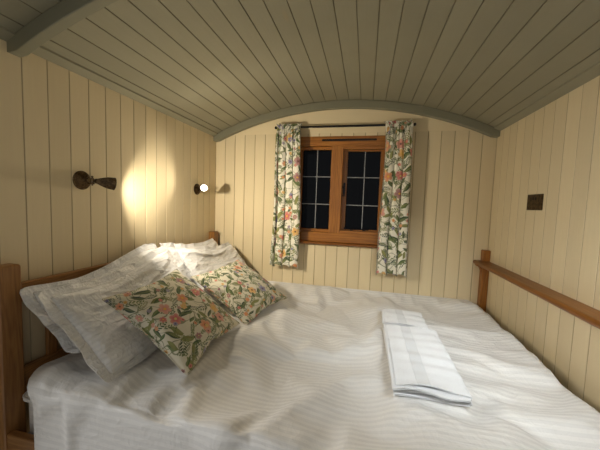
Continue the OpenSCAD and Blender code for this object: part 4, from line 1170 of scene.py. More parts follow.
# Creases of slept-on cotton: ridged noise in two sizes, stretched differently along the two cloth directions
def creaseGroup():
    group, given, gives = newGroup("cotton creases", {"Scale": 9.0}, ("Height",))
    swirl = noise(given["Vector"], 3.0, 2, kind="Color")
    bent = arrows("ADD", given["Vector"], stretch(swirl, (0.12, 0.12, 0.0)))
    ridges = []
    for scale, along, weight in ((1.0, (1.0, 2.2, 1.0), 0.7), (2.9, (1.9, 1.0, 1.0), 0.3)):
        value = noise(stretch(bent, along), times(given["Scale"], scale), 2.0, 0.45)
        ridge = minus(1, times(sums("ABSOLUTE", minus(value, 0.5)), 6.0), clamp=True)
        ridges.append(times(sums("POWER", ridge, 2.0), weight))
    close(gives, Height=plus(*ridges))
    return group


stripe, creases = stripeGroup(), creaseGroup()


# White cotton with sateen stripes
def stripedCotton(name, colour, period, contrast, creaseSize, creaseDepth):
    material, tree, sockets = newMaterial(name, **{"Sheen Weight": 0.25, "Sheen Roughness": 0.5})
    flat = stored(tree, "grain")
    band = useGroup(stripe, Vector=flat, Period=period)["Stripe"]
    threads = useGroup(weave, Vector=flat, Threads=900.0)
    crease = useGroup(creases, Vector=flat, Scale=creaseSize)["Height"]
    aged = useGroup(handling, Vector=flat, Scale=3.0)
    worn = darker(colour, 0.8)
    tint = over(times(band, contrast), colour, darker(colour, 0.52, 0.53, 0.56))
    tint = over(times(threads["Slub"], 0.05), over(times(aged["Patch"], 0.05), tint, worn), worn)
    fine = relief(timesPlus(band, -1.5, threads["Height"]), 0.0004, 0.4)
    skin(sockets, tint, timesPlus(band, 0.4, 0.36), relief(crease, creaseDepth, 0.7, fine))
    return material


# Cells of a flat Voronoi pattern: the place from each cell's own point, and three random values for the cell
def scattered(vector, count, uneven):
    flat = arrows("SCALE", vector, scale=count)
    cells = put(treeOf(flat), "TexVoronoi", {"Vector": flat, "Scale": 1.0, "Randomness": uneven},
                voronoi_dimensions="2D").outputs
    return stretch(arrows("SUBTRACT", flat, cells["Position"]), (1, 1, 0)), channels(cells["Color"])


# Blossoms in the cells of a flat pattern: petals are lobes of the turn round each cell's point
def bloomGroup():
    group, given, gives = newGroup("scattered blossoms",
                                   {"Cells": 14.0, "Size": 0.3, "Petals": 5.0, "Share": 0.5},
                                   ("Petal", "Heart", "Shade", "Pick"))
    local, pick = scattered(given["Vector"], given["Cells"], 0.75)
    size, r, across = given["Size"], arrows("LENGTH", local), axes(local)
    turn = plus(sums("ARCTAN2", across[1], across[0]), times(pick[1], 6.283))
    lobe = sums("ABSOLUTE", sums("COSINE", times(turn, times(given["Petals"], 0.5))))
    reach = times(size, timesPlus(sums("POWER", lobe, 0.6), 0.42, 0.58))
    chosen = step(plus(pick[0], given["Share"]), 0.995, 1.005)
    inside = step(minus(reach, r), 0.0, 0.02)
    heart = step(minus(times(size, 0.24), r), 0.0, 0.02)
    veins = sums("ABSOLUTE", sums("SINE", times(turn, 17.0)))
    shade = times(sums("DIVIDE", r, size, clamp=True), timesPlus(veins, 0.5, 0.6))
    close(gives, Petal=times(inside, chosen), Heart=times(heart, chosen), Shade=timesPlus(lobe, -0.2, shade),
          Pick=pick[2])
    return group


# Sprigs in the cells of a flat pattern: slanted leaflets in pairs along a short stem, or one broad leaf
def sprigGroup():
    group, given, gives = newGroup("scattered sprigs",
                                   {"Cells": 20.0, "Length": 0.42, "Leaflets": 3.0, "Share": 0.7},
                                   ("Leaf", "Rib", "Pick", "Side"))
    local, pick = scattered(given["Vector"], given["Cells"], 0.8)
    length = given["Length"]
    across = axes(put(group, "VectorRotate", {"Vector": local, "Angle": times(pick[1], 6.283)},
                      rotation_type="Z_AXIS").outputs[0])
    x = across[0]
    y = sums("ABSOLUTE", plus(across[1], times(sums("SINE", times(x, 6.0)), 0.03)))
    share = sums("DIVIDE", x, length)
    taper = minus(1, times(share, share), clamp=True)
    single = step(minus(times(taper, 0.17), y), 0.0, 0.02)
    pair = times(minus(x, times(y, 0.9)), sums("DIVIDE", given["Leaflets"], length))
    gap = minus(sums("FRACT", pair), 0.5)
    reach = timesPlus(taper, 0.16, 0.02)
    beside = sums("DIVIDE", sums("ABSOLUTE", minus(y, times(reach, 0.62))), times(reach, 0.5))
    lens = plus(sums("POWER", sums("ABSOLUTE", sums("DIVIDE", gap, 0.36)), 2.0), sums("POWER", beside, 2.0))
    many = times(step(minus(1.05, lens), 0.0, 0.25), step(taper, 0.0, 0.06))
    broad = step(pick[2], 0.48, 0.52)
    shape = plus(times(single, broad), times(many, minus(1, broad)))
    stem = times(step(minus(0.012, y), 0.0, 0.008), step(taper, 0.0, 0.05))
    chosen = step(plus(pick[0], given["Share"]), 0.995, 1.005)
    close(gives, Leaf=times(sums("MAXIMUM", shape, stem), chosen), Rib=times(stem, chosen), Pick=pick[2],
          Side=step(across[1], -0.01, 0.01))
    return group


blossoms, sprigs = bloomGroup(), sprigGroup()


# Several colours for a random value, in steps
def palette(value, colours):
    ramp = put(treeOf(value), "ValToRGB", {0: value})
    ramp.color_ramp.interpolation = "CONSTANT"
    for k, colour in enumerate(colours):
        stop = ramp.color_ramp.elements[k] if k < 2 else ramp.color_ramp.elements.new(0.99)
        stop.position, stop.color = k / len(colours), (*colour, 1)
    return ramp.outputs[0]


floral = {
    "stem": (0.13, 0.15, 0.05),
    "leaves": [(0.020, 0.050, 0.014), (0.050, 0.095, 0.020), (0.095, 0.13, 0.030), (0.018, 0.042, 0.022),
               (0.19, 0.19, 0.045)],
    "lit": (0.30, 0.33, 0.12),
    "petals": [(0.74, 0.20, 0.05), (0.60, 0.06, 0.09), (0.78, 0.42, 0.05), (0.05, 0.12, 0.38),
               (0.72, 0.25, 0.20), (0.26, 0.06, 0.13)],
    "paleEdge": (0.82, 0.68, 0.50), "brown": (0.34, 0.17, 0.10),
    "hearts": [(0.75, 0.42, 0.05), (0.10, 0.03, 0.015), (0.60, 0.55, 0.20)],
    "sprigs": ((17.0, 0.54, 3.0, 0.90), (26.0, 0.52, 2.0, 0.80), (21.0, 0.55, 4.0, 0.80)),
    "blossoms": ((11.0, 0.27, 5.0, 0.36), (19.0, 0.27, 6.0, 0.24), (33.0, 0.28, 5.0, 0.22)),
}


# Printed cotton: stems, three sizes of leaves and three of blossoms over a cream ground; size scales the print
def printedCotton(name, size, ground):
    material, tree, sockets = newMaterial(name, **{"Sheen Weight": 0.15, "Sheen Roughness": 0.5})
    flat = stored(tree, "grain")
    plan = stretch(flat, (1 / size, 1 / size, 3.7))
    layer = put(tree, "CombineXYZ", {0: axes(plan)[2]}).outputs[0]
    plan = arrows("ADD", plan, stretch(layer, (1.0, 0, 0)))
    drift = arrows("SUBTRACT", noise(plan, 16.0, 1, kind="Color"), (0.5, 0.5, 0.5))
    sway = arrows("ADD", plan, stretch(drift, (0.012, 0.012, 0)))
    colour = over(times(noise(plan, 30.0, 3), 0.25), ground, darker(ground, 0.8))
    for scale in (9.0, 14.0):
        value = noise(arrows("ADD", sway, (scale, 0.3, 0)), scale, 1)
        line = minus(1, step(sums("ABSOLUTE", minus(value, 0.5)), 0.004, 0.011))
        colour = over(times(line, 0.8), colour, floral["stem"])
    for k, (cells, length, leaflets, share) in enumerate(floral["sprigs"]):
        found = useGroup(sprigs, Vector=arrows("ADD", sway, (0.37 * k + 0.1, 0.71 * k, 0)), Cells=cells,
                         Length=length, Leaflets=leaflets, Share=share)
        green = palette(sums("FRACT", times(found["Pick"], 7.3)), floral["leaves"])
        colour = over(found["Leaf"], colour, green)
        lit = times(times(found["Side"], found["Leaf"]), 0.35)
        colour = over(sums("MAXIMUM", lit, times(found["Rib"], 0.55)), colour, floral["lit"])
    for k, (cells, reach, petals, share) in enumerate(floral["blossoms"]):
        found = useGroup(blossoms, Vector=arrows("ADD", sway, (0.53 * k, 0.29 * k + 0.2, 0)), Cells=cells,
                         Size=reach, Petals=petals, Share=share)
        tint = palette(sums("FRACT", times(found["Pick"], 5.7)), floral["petals"])
        tint = over(times(found["Shade"], 0.62, clamp=True), tint, floral["paleEdge"])
        tint = over(times(noise(plan, 70.0, 2), 0.45), tint, floral["brown"])
        colour = over(found["Petal"], colour, tint)
        colour = over(found["Heart"], colour, palette(found["Pick"], floral["hearts"]))
    threads = useGroup(weave, Vector=flat, Threads=800.0)
    crease = useGroup(creases, Vector=flat, Scale=12.0)["Height"]
    skin(sockets, over(times(threads["Slub"], 0.12), colour, (0.5, 0.46, 0.36)),
         timesPlus(threads["Slub"], 0.1, 0.74),
         relief(crease, 0.0012, 0.5, relief(threads["Height"], 0.0004, 0.35)))
    return material


# Looped towelling with a flat woven band between two places along the first cloth coordinate
def towelling(name, colour, low, high):
    material, tree, sockets = newMaterial(name, **{"Sheen Weight": 0.5, "Sheen Roughness": 0.6})
    flat = stored(tree, "grain")
    along = axes(flat)[0]
    band = times(step(along, low - 0.0008, low + 0.0008), minus(1, step(along, high - 0.0008, high + 0.0008)))
    loops = put(tree, "TexVoronoi",
                {"Vector": stretch(flat, (1.0, 1.0, 0.2)), "Scale": 520.0}).outputs["Distance"]
    pile = plus(minus(1, loops), noise(flat, 90.0, 4, 0.7))
    ribs = sums("ABSOLUTE", sums("SINE", times(along, 1500.0)))
    height = plus(times(pile, minus(1, band)), times(ribs, times(band, 0.15)))
    # darker towards the edges of the loop cells: painted shade between the loops of the pile
    tint = over(times(loops, 0.45), colour, darker(colour, 0.74))
    tint = over(band, tint, darker(colour, 0.80, 0.81, 0.82))
    skin(sockets, tint, timesPlus(band, -0.35, 0.92), relief(height, 0.0022, 0.8))
    return material


bedLinen = stripedCotton("sateen-striped bed linen", (0.74, 0.72, 0.68), 0.025, 0.17, 8.0, 0.0022)
caseLinen = stripedCotton("pillow case cotton", (0.82, 0.81, 0.79), 0.019, 0.11, 9.0, 0.007)
tickingCloth = stripedCotton("mattress ticking", (0.76, 0.75, 0.72), 0.034, 0.3, 3.0, 0.001)
cushionPrint = printedCotton("floral cushion print", 1.22, (0.72, 0.67, 0.52))
curtainPrint = printedCotton("floral curtain print", 1.6, (0.80, 0.76, 0.63))
print("fabrics:", len(bpy.data.materials))

# Curtains
curtain = {"front": 0.017, "fold": 0.0220, "gathers": 15, "folds": 3.3, "thick": 0.0026, "flat": (0.42, 1.20)}


# A gathered curtain: the place across is u and the length down the cloth is s. Many small gathers at the pole
# run into a few deep folds with broad crests and narrow valleys, and the heading loops over the pole in front
# of a frill.
def gatheredCurtain(side, seed):
    low, high = corners("curtain_" + side)
    y0, pz = endY - pole["out"], sum(corners("curtain_pole"))[2] / 2
    hook = smoothed([(0.0112, 0.0065), (0.0080, 0.0130), (0.0030, 0.0165), (0.0028, 0.0235),
                     (0.0000, high[2] - pz + 0.0020), (-0.0030, 0.0235), (-0.0036, 0.0165), (-0.0092, 0.0115),
                     (-0.0118, 0.0020), (-0.0100, -0.0085), (-0.0080, -0.0180), (-0.0100, -0.0300)], 5)
    drop = np.linspace(pz - 0.034, low[2], 118)
    down = np.vstack([hook + (y0, pz), np.stack([np.full(len(drop), y0 - 0.010), drop], 1)])
    s = runLength(down)
    u = np.linspace(0, 1, 240)
    fall = np.clip((pz - 0.012 - down[:, 1]) / (pz - low[2]), 0, 1)[:, None]
    opened = 1 - np.exp(-fall / 0.045)                      # how far the folds have opened from the pole
    merge = np.clip(fall / 0.30, 0, 1) ** 0.8
    lean = (0.5 * waves(u[None] * 3, fall * 1.3, 0.9, 1.6, seed)
            + 0.25 * waves(u[None] * 6, fall * 2, 0.4, 2.2, seed + 1))
    big = 2 * math.pi * (curtain["folds"] * u[None]) + 0.7 * lean + (0.4 if side == "left" else 1.9)
    small = (2 * math.pi * curtain["gathers"] * u[None]
             + 1.4 * waves(u[None] * 2, fall * 0.4, 0.2, 2.0, seed + 2))
    depth = curtain["fold"] * opened * (0.86 + 0.12 * waves(u[None] * 2, fall, 0.4, 3.0, seed + 3))
    tight = 0.0052 * (1 - 0.80 * merge)
    crest = 1 - 2 * np.abs(np.cos(big / 2)) ** 0.95        # 1 in the narrow valleys, -1 on the crests
    frill = np.clip((down[:, 1] - pz - 0.012) / 0.014, 0, 1)[:, None]
    y = (down[:, :1] - curtain["front"] * opened * (1 - 0.25 * fall) + depth * crest
         + tight * np.cos(small) * (0.55 + 0.45 * opened) + 0.0035 * frill * np.sin(small * 0.5 + 1))
    width = high[0] - low[0]
    spread = 0.84 + 0.15 * fall + 0.07 * frill
    x = ((low[0] + high[0]) / 2 + width * spread * (u[None] - 0.5)
         + 0.0170 * opened * np.sin(big) * np.abs(np.cos(big / 2))
         + 0.0015 * np.sin(2 * small) * (1 - merge) + 0.006 * waves(u[None], fall * 3, 1.4, 2.0, seed + 4))
    z = (down[:, 1:] + 0.0030 * frill * waves(u[None] * 14, fall, 0.0, 3.0, seed + 5)
         + 0.014 * fall * np.cos(big + 0.5) * np.clip(3 * fall - 2, 0, 1))
    grid = np.stack([np.clip(x, low[0] - 0.006, high[0] + 0.006), np.minimum(y, endY - 0.004),
                     np.broadcast_to(z, x.shape)], -1)
    across = np.cumsum(np.linalg.norm(np.diff(grid, axis=1), axis=2), axis=1)
    run = np.concatenate([np.zeros((len(s), 1)), across], 1)
    rest = np.stack([run + (3.1 if side == "left" else 4.4), np.broadcast_to(s[:, None], run.shape)], -1)
    hem = 1 + 1.1 * np.clip((s - s[-1] + 0.055) / 0.002, 0, 1)[:, None]   # a double hem along the bottom
    made = piece("curtain_" + side + "_cloth", [sheetPart(grid, rest, curtain["thick"] * hem)], curtainPrint,
                 "floral_cloth", "curtain_" + side, crease=3.2)


gatheredCurtain("left", 31)
gatheredCurtain("right", 47)
print("curtains hung")

# Mattress
mattress = {"round": 0.045, "crown": 0.010, "edge": 0.016, "piping": 0.0045}


# Outline of the mattress inset from a rounded rectangle of this half size
def mattressOutline(half, inset):
    wide, long = 2 * (half - inset)
    return roundedRing(wide, long, max(mattress["round"] - inset, 0.004), 6)


# The mattress is a stack of outlines: flat faces with a slight crown, rounded edges and a straight border
def beddedMattress():
    low, high = corners("mattress")
    centre, half = (low + high) / 2, (high - low)[:2] / 2
    edge, pipe, crown = mattress["edge"], mattress["piping"], mattress["crown"]
    border = high[2] - crown - centre[2]
    inward = (0.70, 0.62, 0.50, 0.36, 0.24, 0.14, 0.07, 0.03)
    # pairs of inset and height, from the middle of a face out to the border
    face = [(d, border + crown * math.sin(min(d / 0.3, 1) * math.pi / 2)) for d in inward]
    face += [(edge * (1 - math.sin(a)), border + (edge * math.cos(a) - edge))
             for a in np.linspace(math.pi / 2, 0, 5)]
    places = [(d, -z) for d, z in face] + face[::-1]
    outlines = np.array([mattressOutline(half - 0.002, d) for d, z in places])
    levels = np.broadcast_to(np.array([z for d, z in places])[:, None, None] + centre[2],
                             (*outlines.shape[:2], 1))
    points = np.concatenate([outlines + centre[:2], levels], -1)
    grain = np.stack([points[..., 0] + points[..., 2], points[..., 1] + points[..., 2], points[..., 2] * 0], -1)
    parts = [ringed(points, grain)]
    outline = mattressOutline(half - pipe, 0)
    for sign in (-1, 1):
        level = centre[2] + sign * (border - edge * 0.35)
        path = np.column_stack([outline + centre[:2], np.full(len(outline), level)])
        parts.append(tube(circleRing(pipe, 10), path, looped=True))
    made = piece("mattress_body", parts, tickingCloth, "ticking", "mattress", crease=0.9)


beddedMattress()

# Duvet
duvet = {"turn": 0.052, "sink": 0.010, "grow": 0.04, "pressure": 0.22, "thick": 0.066, "fallThick": 0.020,
         "rumple": 0.045}


# Footprints of what lies on the duvet, where it stays level
def heldDown(x, y):
    held = np.zeros(x.shape, bool)
    for node, inset in (("bath_towel", 0.006), ("hand_towel", 0.006)):
        low, high = corners(node)
        held |= (x > low[0] + inset) & (x < high[0] - inset) & (y > low[1] + inset) & (y < high[1] - inset)
    for node, near in (("near_pillow_back", 0.10), ("near_pillow_front", 0.09), ("far_pillow_back", 0.10),
                       ("far_pillow_front", 0.09), ("near_cushion", 0.07), ("far_cushion", 0.12)):
        low, high = corners(node)
        held |= (x > high[0] - near) & (x < high[0] - 0.01) & (y > low[1] + 0.03) & (y < high[1] - 0.03)
    return held


# A cloth grid whose overhang past the bed's edges turns down round a quarter circle and hangs. Its top is
# wrinkled by the cloth run, and its underside follows the unwrinkled form.
def madeDuvet():
    low, high = corners("duvet")
    turnR, gap = duvet["turn"], cloth["duvetSpacing"]
    edgeX, edgeY = high[0] - 0.008, low[1] + 0.008
    fall = high[2] - low[2] - turnR + 0.012                  # down the sides, past the quarter circle
    lengthX, lengthY = (a + fall + turnR * (math.pi / 2 - 1) for a in (edgeX - low[0], high[1] - edgeY))
    n, m = int(lengthX / gap), int(lengthY / gap)
    p, q = np.meshgrid(np.linspace(0, lengthX, n), np.linspace(0, lengthY, m), indexing="ij")
    x, y = low[0] + p, high[1] - q
    # its head edge lies further from the headboard where it falls over the near side
    x = x + 0.105 * np.clip((edgeY + turnR + 0.07 - y) / 0.15, 0, 1) * np.exp(-p / 0.20)
    overX, overY = np.clip(x - edgeX + turnR, 0, None), np.clip(edgeY + turnR - y, 0, None)
    reach, angle = (overX ** 6 + overY ** 6) ** (1 / 6), np.arctan2(overY, overX + 1e-9)
    bend = np.clip(reach / (turnR * math.pi / 2), 0, 1) * math.pi / 2
    out = turnR * np.sin(bend) + 0.10 * np.clip(reach - 0.08, 0, 1) * np.sin(2 * angle) ** 2
    down = turnR * (1 - np.cos(bend)) + np.clip(reach - turnR * math.pi / 2, 0, None)
    base = np.stack([np.minimum(x, edgeX - turnR) + out * np.cos(angle) * (reach > 0),
                     np.maximum(y, edgeY + turnR) - out * np.sin(angle) * (reach > 0), high[2] - down], -1)
    held = heldDown(base[..., 0], base[..., 1]) & (reach < 0.02)
    # broad hollows: the head end near the open side lies lower than the puffed middle
    side = (x + 0.33) * 0.857 + (y + 0.74) * 0.515
    hollow = 0.034 / (1 + np.exp(side / 0.035)) * (y < 0.1) * np.clip((0.0 - y) / 0.25, 0, 1)
    nearStack = np.clip((x + 0.72) / 0.10, 0, 1)
    sink = duvet["sink"] + 0.6 * hollow * np.clip((y + 0.80) / -0.2 + 1, 0.0, 1) * nearStack
    rumple = duvet["rumple"] * np.exp(-((x + 0.89) / 0.09) ** 2 - ((y + 0.715) / 0.085) ** 2)
    softHeld = held.astype(float)
    for _ in range(6):                                     # eases the level places into their surroundings
        around = softHeld[:-2, 1:-1] + softHeld[2:, 1:-1] + softHeld[1:-1, :-2] + softHeld[1:-1, 2:]
        softHeld[1:-1, 1:-1] = np.maximum(held[1:-1, 1:-1], 0.25 * around)
    lift = -(sink * (1 - softHeld) + 0.0025 * softHeld)
    calm = 1 - 0.45 / (1 + np.exp((0.25 - x) / 0.08))      # the foot half lies smoother
    drag = np.exp(-((x + 0.42) / 0.30) ** 2) / (1 + np.exp((y + 0.05) / 0.08))
    ripple = (0.0065 * waves(x, y, 1.05, 8.5, 11) + 0.0052 * calm * waves(x, y, 2.3, 15.0, 12)
              + 0.0026 * calm * waves(x, y, 0.3, 33.0, 13, 0.8)
              + 0.0075 * drag * waves(x, y, 0.42, 19.0, 14, 0.22))
    rim = np.clip(np.minimum.reduce([p / 0.07, (lengthX - p) / 0.05, q / 0.05, (lengthY - q) / 0.05]), 0, 1)
    outward = np.stack([np.cos(angle) * np.sin(bend), -np.sin(angle) * np.sin(bend), np.cos(bend)], -1)
    normal = np.where(reach[..., None] > 0.02, outward, (0, 0, 1.0))
    start = base + normal * (ripple * (1 - softHeld) * rim + lift + rumple * (1 - softHeld))[..., None]
    pinned = held.copy()
    pinned[0] = pinned[-1] = pinned[:, 0] = pinned[:, -1] = True
    moved = settle(start.reshape(-1, 3), gridFaces(np.arange(n * m).reshape(n, m)), duvet["pressure"],
                   duvet["grow"], pinned.ravel(), bend=0.12).reshape(n, m, 3)
    moved[..., 2] = np.minimum(moved[..., 2], high[2] + 0.006 + rumple)
    moved[..., 0] = np.minimum(moved[..., 0], high[0] + 0.004)
    moved[..., 1] = np.maximum(moved[..., 1], low[1] - 0.006)
    # the hanging sides don't sink in past their lining
    stands = ((moved - base) * normal).sum(-1, keepdims=True)
    moved += normal * np.clip(-0.008 - stands, 0, None) * np.clip(reach / 0.03 - 1, 0, 1)[..., None]
    edgeEase = np.clip(np.minimum.reduce([p, lengthX - p, q, lengthY - q]) / 0.045, 0, 1) ** 0.5
    puff = (duvet["thick"] - duvet["fallThick"]) * (1 - np.clip(reach / 0.10, 0, 1))
    thick = (duvet["fallThick"] + puff) * edgeEase + 0.003
    under = base + normal * (lift - thick)[..., None]
    under = np.where((edgeEase < 0.02)[..., None], moved - normal * 0.003, under)
    # the underside keeps out of the block that mattress, rails and foot end fill
    footLow, footHigh = corners("bed_foot_end")
    keep = np.array([footHigh[0] + 0.003, footLow[1] - 0.003, corners("mattress")[1][2] + 0.0015])
    deep = (keep - under) * (1, -1, 1)
    least = (deep == deep.min(-1, keepdims=True)) & (deep > 0).all(-1, keepdims=True)
    shell = shellPart(moved, np.where(least, keep, under), np.stack([p, q], -1))
    made = piece("duvet_cover", [shell], bedLinen, "white_linen", "duvet", crease=3.2)
    rounded(made)


# One level of subdivision on a finished cloth piece
def rounded(made):
    smooth = made.modifiers.new("rounded", "SUBSURF")
    smooth.levels = smooth.render_levels = 1


madeDuvet()
print("mattress and duvet laid")

# Pillows and cushions
pillow = {"length": 0.635, "width": 0.385, "pressure": 0.9, "grow": 0.07, "thick": 0.114, "flange": 0.034}
cushion = {"length": 0.470, "width": 0.470, "pressure": 1.9, "grow": 0.01, "thick": 0.120, "piping": 0.0022}
# which blown pad, turned end for end or not; place along and across the bed; lean, turn and roll in degrees;
# how far its outer end sags and how far that end's lower corner is pushed up
pads = {
    "near_pillow_back": (0, 1, (-0.920, -0.358), 57, 2, -1.5, 0.25, 0.075),
    "near_pillow_front": (1, 1, (-0.800, -0.366), 51, 1, 1.5, 0.17, 0.0),
    "far_pillow_back": (1, -1, (-0.905, 0.367), 54, 0, 0, 0.10, 0.0),
    "far_pillow_front": (0, -1, (-0.782, 0.371), 51, -3, -2, 0.13, 0.0),
    "near_cushion": (2, 1, (-0.598, -0.375), 35.5, -5, 5.5, 0, 0),
    "far_cushion": (3, 1, (-0.528, 0.150), 29, -20, 8, 0, 0),
}


# A pad from two flat cloths sewn together at the rim and blown up: (u, v) run from -1 to 1 over the cloth
def blownPad(size, seed):
    n, m = int(size["length"] / cloth["padSpacing"]), int(size["width"] / cloth["padSpacing"])
    top = np.arange(n * m).reshape(n, m)
    bottom = top.copy()
    bottom[1:-1, 1:-1] = np.arange((n - 2) * (m - 2)).reshape(n - 2, m - 2) + n * m
    u, v = np.meshgrid(np.linspace(-1, 1, n), np.linspace(-1, 1, m), indexing="ij")
    belly = np.clip((1 - np.abs(u) ** 2.6) * (1 - np.abs(v) ** 2.6), 0, 1) ** 0.5
    startT = 0.011
    lumps = 0.5 * waves(u, v, 0.8, 3.2, seed) + 0.3 * waves(u, v, 2.2, 6.5, seed + 1)
    puff = startT * belly * (1 + 0.25 * lumps * belly)
    flat = np.stack([u * size["length"] / 2, v * size["width"] / 2], -1)
    points = np.zeros((bottom.max() + 1, 3))
    points[bottom] = np.concatenate([flat, -puff[..., None]], -1)
    points[top] = np.concatenate([flat, puff[..., None]], -1)
    points[gridRim(top), 2] = 0.0006 * np.sin(np.arange(len(gridRim(top))) * 0.7)
    quads = np.vstack([gridFaces(top), gridFaces(bottom)[:, ::-1]])
    points = settle(points, quads, size["pressure"], size["grow"])
    points -= (points.max(0) + points.min(0)) / 2
    grain = np.zeros((len(points), 3))
    grain[bottom, :2] = grain[top, :2] = flat
    grain[bottom[1:-1, 1:-1], 2] = 1
    return {"points": points, "quads": quads, "top": top, "bottom": bottom, "grain": grain, "u": u, "v": v}


# A pad's own frame laid into the room: x along the hut, y up the lean, z out of its face; spin turns it about
# the upright and roll in its own plane
def laidBy(lean, spin=0.0, roll=0.0):
    lean, spin, roll = (math.radians(a) for a in (lean, spin, roll))
    turn = np.array([(0, -math.cos(lean), math.sin(lean)), (1, 0, 0), (0, math.sin(lean), math.cos(lean))])
    swing, rolled = (np.array([(math.cos(a), -math.sin(a), 0), (math.sin(a), math.cos(a), 0), (0, 0, 1)])
                     for a in (spin, roll))
    return swing @ turn @ rolled


# Presses the pad's face in where it lies against something: z is held between two levels, eased near them
def pressed(z, low, high, ease=0.016):
    z = np.where(z > high - ease, high - ease * np.exp(-(z - high + ease) / ease), z)
    return np.where(z < low + ease, low + ease * np.exp((z - low - ease) / ease), z)


# Flange sewn round a pad's rim: a double strip that stands out from the seam and waves a little
def flangePart(pad, points, width, seed):
    rim = gridRim(pad["top"])
    u, v = pad["u"].ravel()[rim], pad["v"].ravel()[rim]
    outward = np.stack([np.sign(u) * (np.abs(u) > 0.999), np.sign(v) * (np.abs(v) > 0.999), 0 * u], 1)
    base = points[rim]
    share = np.array([-0.10, 0.06, 0.30, 0.55, 0.80, 1.0])
    run = runLength(base)
    wave = ((0.9 * np.sin(run * 24 + seed) + 0.6 * np.sin(run * 53 + 2 * seed)) * 0.0075
            + 0.004 * np.sin(run * 9 + seed))
    grid = base[:, None] + outward[:, None] * (share * width)[None, :, None]
    grid[..., 2] += wave[:, None] * np.clip(share, 0, 1) ** 1.3
    grid[..., 2] *= np.interp(share, [0, 1], [1.0, 0.82])
    half = 0.0012
    ring = np.concatenate([grid + (0, 0, half), grid[:, ::-1] - (0, 0, half)], 1)
    flat = np.stack([pad["grain"][rim, 0][:, None] + outward[:, :1] * share * width,
                     pad["grain"][rim, 1][:, None] + outward[:, 1:2] * share * width,
                     np.zeros((len(base), len(share)))], -1)
    return ringed(ring, np.concatenate([flat, flat[:, ::-1]], 1), looped=True)


# Puts a pad's parts into the room on a level floor, with the outer end of what it carries sagging
def laid(name, parts, floor, soften):
    _, _, (x, y), lean, spin, roll, sag, lift = pads[name]
    turn = laidBy(lean, spin, roll)
    moved = [p["points"] @ turn.T for p in parts]
    base = min(m[:, 2].min() for m in moved)
    for p, m in zip(parts, moved):
        m = m + (x, y, floor - base - 0.010)
        z = m[:, 2]
        eased = floor + 0.001 + (soften - 0.001) * np.exp((z - floor - soften) / soften)
        z = np.where(z < floor + soften, eased, z)
        outer = np.clip((np.abs(m[:, 1]) - 0.06) / 0.52, 0, 1)
        m[:, 2] = floor + (z - floor) * (1 - sag * outer * outer * (3 - 2 * outer))
        end = np.clip((np.abs(m[:, 1]) - 0.46) / 0.24, 0, 1) ** 1.5
        m[:, 2] += lift * end * np.clip(1 - (z - floor) / 0.30, 0, 1) * (1 + 0.25 * np.sin(m[:, 0] * 70))
        p["points"] = m
    return parts


# Pillows in flanged cases and piped cushions; pressed against what they lean on
def restingPads():
    blown = [blownPad(pillow, 61), blownPad(pillow, 83), blownPad(cushion, 105), blownPad(cushion, 137)]
    floor = corners("near_pillow_back")[0][2]
    for name, (which, mirror, *_) in pads.items():
        pad, soft = blown[which], "pillow" in name
        points = pad["points"] * (mirror, 1, 1)
        points[:, 2] *= (pillow if soft else cushion)["thick"] / np.ptp(points[:, 2])
        u, v = (np.zeros(len(points)) for _ in range(2))
        for faces in (pad["bottom"], pad["top"]):
            u[faces], v[faces] = pad["u"], pad["v"]
        front = points[:, 2] > 0
        if "back" in name:
            points[:, 2] = pressed(points[:, 2], -0.048, 0.044)
        elif soft:                                           # the cushion dents the pillow that it leans on
            dent = 0.026 * np.exp(-(u * mirror / 0.62) ** 4 - ((v - 0.05) / 0.75) ** 4)
            dented = points[:, 2] - dent * front * np.clip(points[:, 2] / 0.05, 0, 1)
            points[:, 2] = pressed(dented, -0.046, 0.062)
        else:
            points[:, 2] = pressed(points[:, 2], -0.050, 0.066)
        # a pillow's upper edge dips in its middle, and its slack cloth sags in folds from the corners
        points[:, 1] -= 0.016 * np.cos(u * 2.2) * (v > 0.2) * (v - 0.2) * soft
        if soft:
            bow = v + 0.35 * u * u * np.sign(0.3 - v)
            sharp = 1 - np.abs(waves(u * 1.1, bow * 2.2, 1.45, 3.8, 50 + which, 0.28))
            fold = np.clip(sharp, 0, 1) ** 2 - 0.3
            points[:, 2] += np.where(front, 1, -1) * 0.014 * fold * (1 - u ** 6) * (1 - v ** 6)
        shell = part(points, pad["quads"], (), pad["grain"] + ((0, 0, 0) if soft else (which * 1.7, 0.3, 0)))
        rim = gridRim(pad["top"])
        if soft:
            edge = flangePart(pad, points, pillow["flange"], 2.0 + which)
        else:
            edge = tube(circleRing(cushion["piping"], 8), points[rim] * (1.004, 1.004, 1), looped=True)
            edge["grain"] = np.repeat(shell["grain"][rim], 8, axis=0)
        parts = laid(name, [shell, edge], floor, 0.018 if soft else 0.012)
        for p in parts:
            p["points"][:, 0] = np.maximum(p["points"][:, 0], -halfX + 0.045)
        looks = (caseLinen, "white_linen") if soft else (cushionPrint, "floral_cloth")
        made = piece(name + ("_case" if soft else "_cover"), parts, *looks, name, crease=3.2)
        rounded(made)


restingPads()
print("pillows and cushions placed")

# Towels
towels = {
    "bath_towel": {"layers": 5, "thick": 0.0050, "flat": (0.60, 1.10), "band": (0.072, 0.118)},
    "hand_towel": {"layers": 5, "thick": 0.0034, "flat": (0.40, 0.75), "band": (0.070, 0.112)},
}


